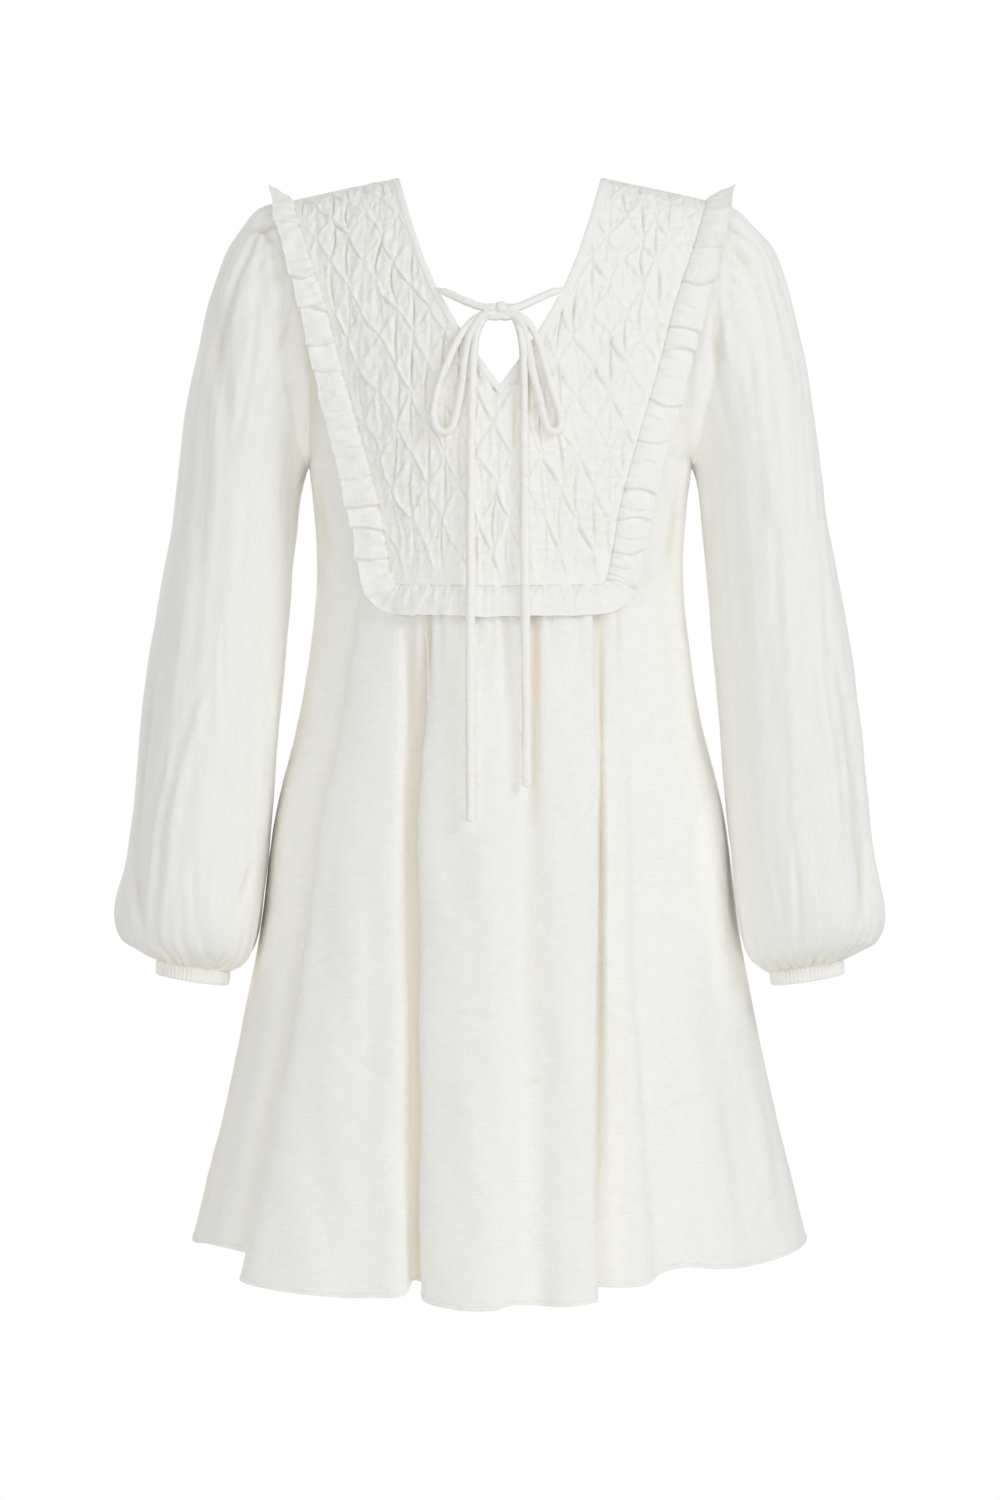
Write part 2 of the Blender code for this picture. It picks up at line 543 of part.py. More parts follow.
def add_sleeve(side, name):
    """Long balloon sleeve, gathered at its head and into the cuff."""
    last = len(SLEEVE["outer_x"]) - 1
    rings = [armhole_ring(side)] + [sleeve_ring(side, row) for row in range(last + 1)]
    middle = Vector((side * 0.235, 0, -0.4))
    shell("sleeve_" + name, [rings], CLOTH, LINEN, closed=True, inside=middle)
    down = Vector((side * 0.11, 0, -1)).normalized()
    top = [point + down * CUFF_GAP for point in sleeve_ring(side, last)]
    bottom = [point + down * (CUFF_GAP + CUFF_DROP) for point in sleeve_ring(side, last)]
    cuff_middle = Vector((side * 0.247, -0.028, -0.63))
    shell("cuff_" + name, [[top, bottom]], CLOTH, LINEN, closed=True, inside=cuff_middle)


# ------------------------------------------------------------------ neck ties
def add_tie(name, route, count):
    """One stretch of a rouleau tie."""
    curve = bpy.data.curves.new(name, "CURVE")
    curve.dimensions = "3D"
    curve.bevel_depth = ROULEAU / 2
    curve.bevel_resolution = 2
    curve.use_fill_caps = True
    spline = curve.splines.new("POLY")
    points = smooth_route([front_spot(*spot) for spot in route], count)
    spline.points.add(len(points) - 1)
    for end, point in zip(spline.points, points):
        end.co = (*point, 1.0)
    place(bpy.data.objects.new(name, curve), LINEN_TRIM)


def add_knot():
    """Knot of the bow, where the strands, loops and tails meet."""
    bm = bmesh.new()
    bmesh.ops.create_uvsphere(bm, u_segments=16, v_segments=10, radius=0.5)
    bmesh.ops.scale(bm, vec=KNOT_SIZE, verts=bm.verts)
    bmesh.ops.translate(bm, vec=front_spot(*KNOT_SPOT), verts=bm.verts)
    mesh = bpy.data.meshes.new("tie_knot")
    bm.to_mesh(mesh)
    bm.free()
    mesh.shade_smooth()
    place(bpy.data.objects.new("tie_knot", mesh), LINEN_TRIM)


def add_ties():
    """Two ties from the neckline to a bow: a strand, a loop and a hanging tail on each side."""
    add_knot()
    for kind, routes in (("strand", STRANDS), ("loop", LOOPS), ("tail", TAILS)):
        for side, route in routes.items():
            add_tie(f"tie_{kind}_{side}", route, TIE_POINTS[kind])


for old in list(bpy.data.objects):
    bpy.data.objects.remove(old, do_unlink=True)

DRESS = bpy.data.collections.new("mini_dress")
bpy.context.scene.collection.children.link(DRESS)
SHOULDERS = bpy.data.objects.new("shoulders", None)
DRESS.objects.link(SHOULDERS)

add_front_panel()
add_back_panel()
add_bib()
add_neck_binding()
add_ruffle()
add_sleeve(-1, "left")
add_sleeve(1, "right")
add_ties()
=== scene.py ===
"""Looks of the smocked linen mini dress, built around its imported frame.

Metres, +Z up, the front faces -Y, and the origin lies midway between the two neck points, as in the
frame. Left means the side at -X. Each cloth piece is a thin shell on the surface that its solid has
in the frame, with the folds, gathers and stitches that a solid leaves out.
"""
import json
import math

import bmesh
import bpy
import numpy as np
from bpy.props import FloatProperty, FloatVectorProperty, PointerProperty
from bpy.types import Operator, Panel, PropertyGroup
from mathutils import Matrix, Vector

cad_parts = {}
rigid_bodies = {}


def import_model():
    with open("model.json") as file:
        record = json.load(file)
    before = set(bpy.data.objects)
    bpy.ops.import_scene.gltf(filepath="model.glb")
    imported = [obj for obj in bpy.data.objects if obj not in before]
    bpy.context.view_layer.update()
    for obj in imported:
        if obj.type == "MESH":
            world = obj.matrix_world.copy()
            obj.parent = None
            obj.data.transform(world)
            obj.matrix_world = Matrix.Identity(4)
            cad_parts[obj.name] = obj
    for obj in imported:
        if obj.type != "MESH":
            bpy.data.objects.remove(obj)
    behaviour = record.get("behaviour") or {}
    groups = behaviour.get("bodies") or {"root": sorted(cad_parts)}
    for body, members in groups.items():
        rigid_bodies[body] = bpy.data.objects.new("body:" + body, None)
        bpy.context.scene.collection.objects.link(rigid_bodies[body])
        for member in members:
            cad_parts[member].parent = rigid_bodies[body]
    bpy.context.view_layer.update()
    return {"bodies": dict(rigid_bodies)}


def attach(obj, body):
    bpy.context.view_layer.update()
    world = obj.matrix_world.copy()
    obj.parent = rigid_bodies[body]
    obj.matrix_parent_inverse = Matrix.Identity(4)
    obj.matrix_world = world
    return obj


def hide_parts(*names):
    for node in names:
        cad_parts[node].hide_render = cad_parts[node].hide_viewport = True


bl_info = {
    "name": "Smocked Mini Dress",
    "version": (1, 0, 0),
    "blender": (4, 5, 0),
    "location": "3D View > Sidebar > Dress",
    "description": "Builds the cloth, ties and studio of a smocked linen mini dress",
    "category": "Object",
}

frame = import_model()
BODY = next(iter(frame["bodies"]))

# ---------- the dress as it is cut
# These are the sizes and tables of the frame's own construction.
SHOULDER_DROOP = 1.25     # how a row bends down from its middle to its edges
ARMHOLE_ROWS = 6          # rows from the shoulder seam to the underarm
BIB_ROW = 9               # row of the seam along the bottom of the bib
HEM_ROW = 16
SHOULDER_ROW = 0.01       # row of the edges that meet at the shoulder seam
FRONT_GROWTH = 0.85       # power by which a fold deepens from its start to the hem
BACK_GROWTH = 1.5
LEFT_CORNER = 6           # fold lines of the front at the two lower corners of the bib
RIGHT_CORNER = 20
SOLID_SEAM = 0.0005       # air between solids that meet at a seam
RUFFLE_LIFT_SIDE = 24.0   # degrees that the ruffle stands off the body at the sides
RUFFLE_LIFT_HEM = 12.0    # and along the bottom of the bib
RUFFLE_CORNER = 0.006     # radius of its turn at the lower corners of the bib
BINDING_MITRE = 1.6       # reach of the binding at the point of a neckline, in widths
CUFF_GAP = 0.0010         # from the end of a sleeve to its cuff
CUFF_DROP = 0.0108        # height of the cuff band
CUFF_LEAN = 0.11          # how far it leans outwards as it goes down, as a share of its height


def table(columns, rows):
    """Named columns of a short table, one row for each section."""
    return dict(zip(columns.split(), np.array(rows, dtype=float).T))


def rows_of(listed):
    """The rows of such a table, in order."""
    return zip(*listed.values())


# Sections of the front from the shoulder seam (row 0) past the underarm (row 6) and the bib seam
# (row 9) to the hem. cut is the angle from the middle of the front to its edge; 90 is a side seam.
FRONT = table("edge_z mid_z half_width depth cut", [
    (-0.0220, +0.0110, 0.1780, 0.0000, 54),
    (-0.0350, -0.0010, 0.1705, 0.0450, 53),
    (-0.0740, -0.0470, 0.1595, 0.0750, 51),
    (-0.1270, -0.1100, 0.1520, 0.0960, 56),
    (-0.1800, -0.1710, 0.1500, 0.1080, 64),
    (-0.2190, -0.2170, 0.1505, 0.1130, 76),
    (-0.2330, -0.2345, 0.1510, 0.1140, 90),
    (-0.2650, -0.2680, 0.1475, 0.1135, 90),
    (-0.2960, -0.3000, 0.1452, 0.1120, 90),
    (-0.3275, -0.3320, 0.1453, 0.1110, 90),
    (-0.3680, -0.3740, 0.1492, 0.1135, 90),
    (-0.4300, -0.4370, 0.1585, 0.1190, 90),
    (-0.5100, -0.5185, 0.1780, 0.1275, 90),
    (-0.5950, -0.6050, 0.1890, 0.1370, 90),
    (-0.6800, -0.6915, 0.2045, 0.1465, 90),
    (-0.7650, -0.7780, 0.2232, 0.1560, 90),
    (-0.8480, -0.8620, 0.2440, 0.1650, 90)])

# The same rows of the back. Its edges meet the front's at the shoulder and at the side seam.
BACK = table("edge_z mid_z half_width depth cut", [
    (-0.0220, +0.0110, 0.1780, 0.0000, 54),
    (-0.0350, -0.0010, 0.1725, 0.0400, 50),
    (-0.0740, -0.0510, 0.1645, 0.0690, 47),
    (-0.1270, -0.1120, 0.1575, 0.0860, 50),
    (-0.1800, -0.1730, 0.1535, 0.0920, 58),
    (-0.2190, -0.2180, 0.1515, 0.0935, 73),
    (-0.2330, -0.2345, 0.1510, 0.0930, 90),
    (-0.2650, -0.2670, 0.1475, 0.0915, 90),
    (-0.2960, -0.2990, 0.1452, 0.0900, 90),
    (-0.3275, -0.3310, 0.1453, 0.0900, 90),
    (-0.3680, -0.3720, 0.1492, 0.0925, 90),
    (-0.4300, -0.4350, 0.1585, 0.0990, 90),
    (-0.5100, -0.5160, 0.1780, 0.1095, 90),
    (-0.5950, -0.6020, 0.1890, 0.1210, 90),
    (-0.6800, -0.6880, 0.2045, 0.1330, 90),
    (-0.7650, -0.7740, 0.2232, 0.1440, 90),
    (-0.8480, -0.8580, 0.2440, 0.1540, 90)])

# Half widths, at a height, of the two necklines and of the seam around the bib.
FRONT_NECK = table("z half", [
    (0.0000, 0.0816), (-0.0160, 0.0770), (-0.0470, 0.0685), (-0.0760, 0.0590), (-0.0980, 0.0500),
    (-0.1150, 0.0412), (-0.1330, 0.0310), (-0.1560, 0.0160), (-0.1780, 0.0000)])
BACK_NECK = table("z half", [
    (0.0000, 0.0816), (-0.0200, 0.0800), (-0.0500, 0.0730), (-0.0800, 0.0635), (-0.1050, 0.0525),
    (-0.1300, 0.0395), (-0.1550, 0.0245), (-0.1880, 0.0000)])
BIB_SEAM = table("z half", [
    (-0.0170, 0.1655), (-0.0660, 0.1500), (-0.1120, 0.1345), (-0.1610, 0.1220), (-0.1950, 0.1120),
    (-0.2420, 0.0985), (-0.2700, 0.0915), (-0.3000, 0.0865), (-0.3320, 0.0810)])

# Fold lines of the skirt from the left side seam to the right one: where each lies at the bib seam
# and at the hem, as a share of the quarter turn from the middle to a side seam, how far it stands
# off the plain flare at the hem, and how much lower its hem hangs.
FRONT_FOLDS = table("top hem out drop", [
    (-0.9985, -0.9985, +0.000, -0.001), (-0.860, -0.850, +0.002, -0.003),
    (-0.700, -0.684, +0.006, -0.009), (-0.560, -0.519, -0.017, +0.000),
    (-0.520, -0.550, +0.019, +0.008), (-0.450, -0.455, +0.022, +0.011),
    (-0.380, -0.325, +0.012, +0.012), (-0.376, -0.250, +0.008, +0.010),
    (-0.372, -0.194, +0.003, +0.008), (-0.352, -0.184, -0.014, -0.001),
    (-0.276, -0.156, -0.014, +0.000), (-0.262, -0.146, +0.003, +0.010),
    (-0.150, -0.078, +0.014, +0.013),
    (-0.050, -0.013, +0.016, +0.012), (+0.030, +0.020, +0.011, +0.009),
    (+0.105, +0.070, +0.004, +0.011), (+0.200, +0.118, +0.012, +0.012),
    (+0.280, +0.158, +0.014, +0.011), (+0.335, +0.186, +0.007, +0.009),
    (+0.350, +0.172, -0.026, +0.004), (+0.380, +0.232, -0.019, +0.006),
    (+0.415, +0.300, -0.010, +0.006), (+0.450, +0.350, -0.020, +0.001),
    (+0.540, +0.415, -0.018, -0.002), (+0.640, +0.508, -0.008, +0.002),
    (+0.760, +0.650, -0.010, +0.005), (+0.880, +0.810, -0.004, +0.003),
    (+0.9985, +0.9985, +0.000, +0.001)])
BACK_FOLDS = table("top hem out drop", [
    (-0.9985, -0.9985, +0.000, -0.001), (-0.860, -0.850, +0.005, +0.001),
    (-0.700, -0.700, -0.008, +0.000), (-0.560, -0.575, +0.012, +0.004),
    (-0.430, -0.455, +0.010, +0.004), (-0.320, -0.350, -0.014, +0.002),
    (-0.230, -0.255, +0.009, +0.005), (-0.130, -0.150, +0.013, +0.006),
    (-0.060, -0.060, -0.006, +0.004), (+0.000, +0.010, -0.009, +0.004),
    (+0.080, +0.085, +0.010, +0.006), (+0.190, +0.185, +0.015, +0.006),
    (+0.300, +0.275, -0.005, +0.004), (+0.370, +0.355, -0.012, +0.003),
    (+0.480, +0.470, +0.011, +0.004), (+0.620, +0.600, +0.012, +0.003),
    (+0.760, +0.735, -0.007, +0.000), (+0.880, +0.870, +0.004, +0.001),
    (+0.9985, +0.9985, +0.000, +0.001)])

# Rings of a sleeve below the armhole seam, down to the cuff: the highest or outer point, the inner
# point next to the body, half its depth and where its middle lies. x grows outwards.
SLEEVE = table("outer_x outer_z inner_x inner_z half_depth mid_y", [
    (0.1855, -0.0250, 0.1560, -0.2325, 0.0530, -0.0000),
    (0.1980, -0.0340, 0.1565, -0.2340, 0.0545, -0.0005),
    (0.2175, -0.0600, 0.1580, -0.2370, 0.0560, -0.0010),
    (0.2325, -0.1060, 0.1600, -0.2435, 0.0560, -0.0020),
    (0.2475, -0.1850, 0.1630, -0.2630, 0.0550, -0.0050),
    (0.2580, -0.2680, 0.1652, -0.2980, 0.0556, -0.0098),
    (0.2722, -0.3520, 0.1694, -0.3580, 0.0580, -0.0163),
    (0.2820, -0.4230, 0.1752, -0.4250, 0.0591, -0.0219),
    (0.2872, -0.4850, 0.1796, -0.4860, 0.0600, -0.0267),
    (0.2925, -0.5430, 0.1848, -0.5450, 0.0598, -0.0315),
    (0.3020, -0.5830, 0.1890, -0.5880, 0.0560, -0.0338),
    (0.2975, -0.6050, 0.1940, -0.6110, 0.0460, -0.0345),
    (0.2830, -0.6140, 0.2010, -0.6230, 0.0330, -0.0350),
    (0.2698, -0.6200, 0.2125, -0.6290, 0.0255, -0.0350),
    (0.2692, -0.6222, 0.2140, -0.6312, 0.0250, -0.0350)])

# Painted shade of the skirt's front, by fold line: where it is folded in so far that it stays in shade,
# its colour is darkened and warmed.
FRONT_SHADE = table("line width weight", [(0.5, 1.00, 0.45), (9.5, 0.62, 1.0), (19.2, 0.34, 1.0)])
STRAP_SHADE = {-1: 0.75, 1: 0.40}  # weight of the painted shade on each side beside its sleeve

# Routes of the neck ties: x, z, and how far the middle of the cord lies in front of the bib.
STRANDS = {
    "left": [(-0.0430, -0.1048, 0.0040), (-0.0370, -0.1078, 0.0055), (-0.0260, -0.1135, 0.0075),
             (-0.0136, -0.1183, 0.0091)],
    "right": [(0.0430, -0.1046, 0.0040), (0.0370, -0.1070, 0.0055), (0.0260, -0.1126, 0.0075),
              (0.0136, -0.1183, 0.0091)]}
LOOPS = {
    "left": [(-0.0120, -0.1235, 0.0090), (-0.0205, -0.1290, 0.0095), (-0.0300, -0.1400, 0.0090),
             (-0.0390, -0.1580, 0.0080), (-0.0465, -0.1770, 0.0070), (-0.0507, -0.1940, 0.0066),
             (-0.0507, -0.2045, 0.0064), (-0.0475, -0.2125, 0.0064), (-0.0415, -0.2148, 0.0064),
             (-0.0360, -0.2100, 0.0066), (-0.0322, -0.1960, 0.0070), (-0.0290, -0.1780, 0.0076),
             (-0.0262, -0.1570, 0.0088), (-0.0222, -0.1390, 0.0104), (-0.0138, -0.1262, 0.0118)],
    "right": [(0.0120, -0.1235, 0.0090), (0.0210, -0.1300, 0.0095), (0.0290, -0.1440, 0.0090),
              (0.0345, -0.1640, 0.0080), (0.0402, -0.1830, 0.0070), (0.0450, -0.1975, 0.0066),
              (0.0466, -0.2060, 0.0064), (0.0452, -0.2122, 0.0064), (0.0408, -0.2148, 0.0064),
              (0.0362, -0.2108, 0.0064), (0.0330, -0.2010, 0.0066), (0.0298, -0.1870, 0.0072),
              (0.0256, -0.1700, 0.0082), (0.0222, -0.1510, 0.0096), (0.0190, -0.1370, 0.0108),
              (0.0128, -0.1262, 0.0118)]}
TAILS = {
    "left": [(-0.0040, -0.1225, 0.0092), (-0.0112, -0.1262, 0.0100), (-0.0168, -0.1360, 0.0104),
             (-0.0195, -0.1500, 0.0102), (-0.0207, -0.1700, 0.0090), (-0.0216, -0.2000, 0.0070),
             (-0.0222, -0.2366, 0.0060), (-0.0224, -0.2900, 0.0066), (-0.0224, -0.3300, 0.0110),
             (-0.0226, -0.3650, 0.0135), (-0.0228, -0.4100, 0.0150), (-0.0226, -0.4600, 0.0155),
             (-0.0224, -0.5120, 0.0160)],
    "right": [(0.0040, -0.1225, 0.0092), (0.0106, -0.1262, 0.0100), (0.0150, -0.1360, 0.0104),
              (0.0173, -0.1500, 0.0102), (0.0180, -0.1720, 0.0090), (0.0184, -0.2000, 0.0070),
              (0.0184, -0.2366, 0.0060), (0.0186, -0.2900, 0.0066), (0.0190, -0.3300, 0.0110),
              (0.0193, -0.3650, 0.0125), (0.0195, -0.4000, 0.0130), (0.0198, -0.4400, 0.0130),
              (0.0200, -0.4860, 0.0130)]}
KNOT_SPOT = (0.0, -0.1190, 0.0092)

# How each piece is cut before it is gathered: width, length and, where it isn't a rectangle, area.
FRONT_CUT = (0.76, 0.90, 0.46)
BACK_CUT = (0.78, 0.88, 0.48)

# ---------- how finely the cloth is modelled
SKIRT_COLUMNS = (72, 86, 76)      # faces left of the bib's corner, under the bib, and right of it
SKIRT_ROWS = 210
STRAP_ROWS = 84
BACK_HALF_COLUMNS = 86
BACK_ROWS = 200
BIB_COLUMNS = 150                 # faces across each half
BIB_ROWS = 262
RUFFLE_STATIONS = 1300
RUFFLE_SIDE_STEPS = 500           # down a side to its corner, before the stations are spaced evenly
RUFFLE_CORNER_STEPS = 40
RUFFLE_BOTTOM_STEPS = 200
RUFFLE_LINES = 15
SLEEVE_COLUMNS = 224
SLEEVE_ROWS = 240
CUFF_COLUMNS = 300
CUFF_LINES = 15
BINDING_STATIONS = 130            # along each side of each neckline
TIE_SPACING = 0.0011              # from ring to ring along a tie
TIE_COLUMNS = 18
KNOT_COLUMNS = 56
KNOT_ROWS = 48

# ---------- creases placed one by one
# Each is a soft trough (depth below 0) or ridge from one spot to another. bow is how far it curves
# aside, as a share of its length, and width is half the width of its hollow.
CREASE = "x z x2 z2 width depth bow"
FRONT_CREASES = table(CREASE, [
    # the sharp shadow beside the second fold
    (+0.0788, -0.345, +0.0738, -0.860, 0.0029, -0.0055, 0.00),
    # gathers that come out from under the ruffle
    (-0.0531, -0.300, -0.0576, -0.452, 0.0038, -0.0034, 0.00),
    (-0.0425, -0.300, -0.0460, -0.405, 0.0030, -0.0016, 0.01),
    (-0.0334, -0.300, -0.0341, -0.400, 0.0030, -0.0013, 0.00),
    (-0.0137, -0.300, -0.0150, -0.405, 0.0026, -0.0015, 0.01),
    (-0.0068, -0.300, -0.0072, -0.392, 0.0024, -0.0012, 0.00),
    (+0.0038, -0.300, +0.0046, -0.425, 0.0034, -0.0020, 0.00),
    (+0.0129, -0.300, +0.0138, -0.388, 0.0026, -0.0012, 0.00),
    (+0.0265, -0.300, +0.0273, -0.520, 0.0050, -0.0040, 0.00),
    (+0.0394, -0.300, +0.0415, -0.405, 0.0030, -0.0015, 0.01),
    (+0.0569, -0.300, +0.0607, -0.400, 0.0036, -0.0015, 0.00),
    (+0.0766, -0.300, +0.0789, -0.455, 0.0046, -0.0034, 0.01),
    (+0.0902, -0.300, +0.1010, -0.425, 0.0036, -0.0034, 0.02),
    # long soft folds of the skirt
    (-0.0046, -0.374, -0.0038, -0.746, 0.0106, +0.0016, 0.00),
    (+0.0273, -0.374, +0.0265, -0.784, 0.0083, -0.0026, 0.01),
    (-0.0288, -0.420, -0.0364, -0.738, 0.0121, -0.0011, 0.01),
    (+0.0455, -0.465, +0.0501, -0.814, 0.0106, +0.0010, 0.00),
    (-0.1213, -0.465, -0.1441, -0.784, 0.0106, -0.0013, 0.01),
    (-0.1517, -0.511, -0.1729, -0.784, 0.0076, -0.0011, 0.00),
    (-0.1001, -0.571, -0.0971, -0.829, 0.0068, -0.0010, 0.00),
    (+0.0940, -0.374, +0.1653, -0.496, 0.0076, +0.0019, 0.05),
    (+0.1653, -0.496, +0.1699, -0.609, 0.0076, +0.0015, 0.02),
    (+0.1062, -0.420, +0.1274, -0.617, 0.0091, -0.0017, 0.03),
    (+0.1274, -0.617, +0.1441, -0.799, 0.0099, -0.0013, 0.00),
    (+0.1517, -0.571, +0.1835, -0.784, 0.0099, -0.0013, 0.02),
    (+0.0986, -0.617, +0.1016, -0.829, 0.0091, +0.0010, 0.00),
    # faint crumples
    (-0.1213, -0.678, -0.1016, -0.661, 0.0026, -0.0013, 0.10),
    (-0.1320, -0.674, -0.0810, -0.709, 0.0026, -0.0011, 0.06),
    (-0.1770, -0.588, -0.1370, -0.609, 0.0026, -0.0010, 0.10),
    (-0.1570, -0.629, -0.1070, -0.613, 0.0026, -0.0010, -0.08),
    (-0.1250, -0.745, -0.0890, -0.738, 0.0026, -0.0009, 0.10),
    (-0.0415, -0.649, +0.0040, -0.659, 0.0026, -0.0009, 0.10),
    (+0.0080, -0.716, +0.0420, -0.706, 0.0026, -0.0009, -0.10),
    (+0.0340, -0.574, +0.0590, -0.563, 0.0026, -0.0010, 0.12),
    (-0.0300, -0.520, +0.0020, -0.532, 0.0026, -0.0009, 0.10),
    (+0.0789, -0.644, +0.1062, -0.653, 0.0026, -0.0010, 0.20),
    (+0.0849, -0.656, +0.1107, -0.670, 0.0026, +0.0010, 0.20),
    (+0.0800, -0.714, +0.1440, -0.752, 0.0026, -0.0012, 0.08),
    (+0.1140, -0.739, +0.1750, -0.724, 0.0026, -0.0011, -0.06),
    (+0.1340, -0.619, +0.1650, -0.639, 0.0026, -0.0011, 0.12),
    (+0.1650, -0.649, +0.1900, -0.679, 0.0026, -0.0010, 0.08),
    (+0.0890, -0.789, +0.1200, -0.803, 0.0026, -0.0011, 0.12),
    (+0.1213, -0.700, +0.1441, -0.712, 0.0026, -0.0010, 0.10),
    # the waist, drawn in at both sides
    (-0.1380, -0.412, -0.1593, -0.473, 0.0053, -0.0012, 0.05),
    (+0.1441, -0.412, +0.1608, -0.465, 0.0053, -0.0012, -0.05),
    (-0.1425, -0.241, -0.1316, -0.311, 0.0054, -0.0013, 0.02),
    (-0.1200, -0.311, -0.1146, -0.388, 0.0054, -0.0011, 0.02),
    (-0.1378, -0.295, -0.1409, -0.357, 0.0046, -0.0010, 0.00),
    (+0.1425, -0.241, +0.1301, -0.326, 0.0054, -0.0014, 0.02),
    (+0.1200, -0.311, +0.1084, -0.372, 0.0054, -0.0012, 0.02)])
BACK_CREASES = table(CREASE, [
    # between the shoulder blades, where the back is gathered softly
    (-0.0340, -0.190, -0.0400, -0.330, 0.0070, -0.0018, 0.02),
    (-0.0160, -0.215, -0.0150, -0.390, 0.0060, -0.0016, 0.00),
    (+0.0040, -0.200, +0.0090, -0.350, 0.0065, -0.0019, -0.02),
    (+0.0280, -0.180, +0.0350, -0.345, 0.0070, -0.0016, 0.02),
    (+0.0560, -0.150, +0.0600, -0.310, 0.0080, -0.0013, 0.03),
    (-0.0620, -0.145, -0.0680, -0.300, 0.0080, -0.0014, -0.03),
    # drawn towards the armholes and the waist
    (-0.1420, -0.180, -0.0900, -0.215, 0.0060, -0.0015, 0.10),
    (-0.1400, -0.225, -0.0980, -0.280, 0.0060, -0.0013, 0.10),
    (+0.1420, -0.175, +0.0920, -0.205, 0.0060, -0.0014, -0.10),
    (+0.1390, -0.235, +0.0960, -0.295, 0.0060, -0.0014, -0.08),
    (-0.1370, -0.300, -0.0900, -0.350, 0.0060, -0.0010, 0.08),
    (+0.1370, -0.310, +0.0930, -0.365, 0.0060, -0.0011, -0.08),
    # long soft folds of the skirt
    (-0.1050, -0.420, -0.1250, -0.760, 0.0100, -0.0016, 0.01),
    (-0.0650, -0.380, -0.0780, -0.700, 0.0090, +0.0014, 0.00),
    (-0.0260, -0.400, -0.0330, -0.800, 0.0095, -0.0018, 0.01),
    (+0.0230, -0.390, +0.0260, -0.740, 0.0090, -0.0014, 0.00),
    (+0.0700, -0.400, +0.0830, -0.790, 0.0100, -0.0018, -0.01),
    (+0.1080, -0.440, +0.1300, -0.770, 0.0110, +0.0013, 0.01),
    (+0.1500, -0.560, +0.1750, -0.800, 0.0080, -0.0011, 0.00),
    (-0.1480, -0.540, -0.1700, -0.790, 0.0080, -0.0012, 0.00),
    # faint crumples from sitting
    (-0.0650, -0.610, -0.0300, -0.622, 0.0050, -0.0010, 0.15),
    (+0.0200, -0.640, +0.0620, -0.630, 0.0050, -0.0009, -0.15),
    (-0.0100, -0.680, +0.0200, -0.690, 0.0048, -0.0008, 0.15)])
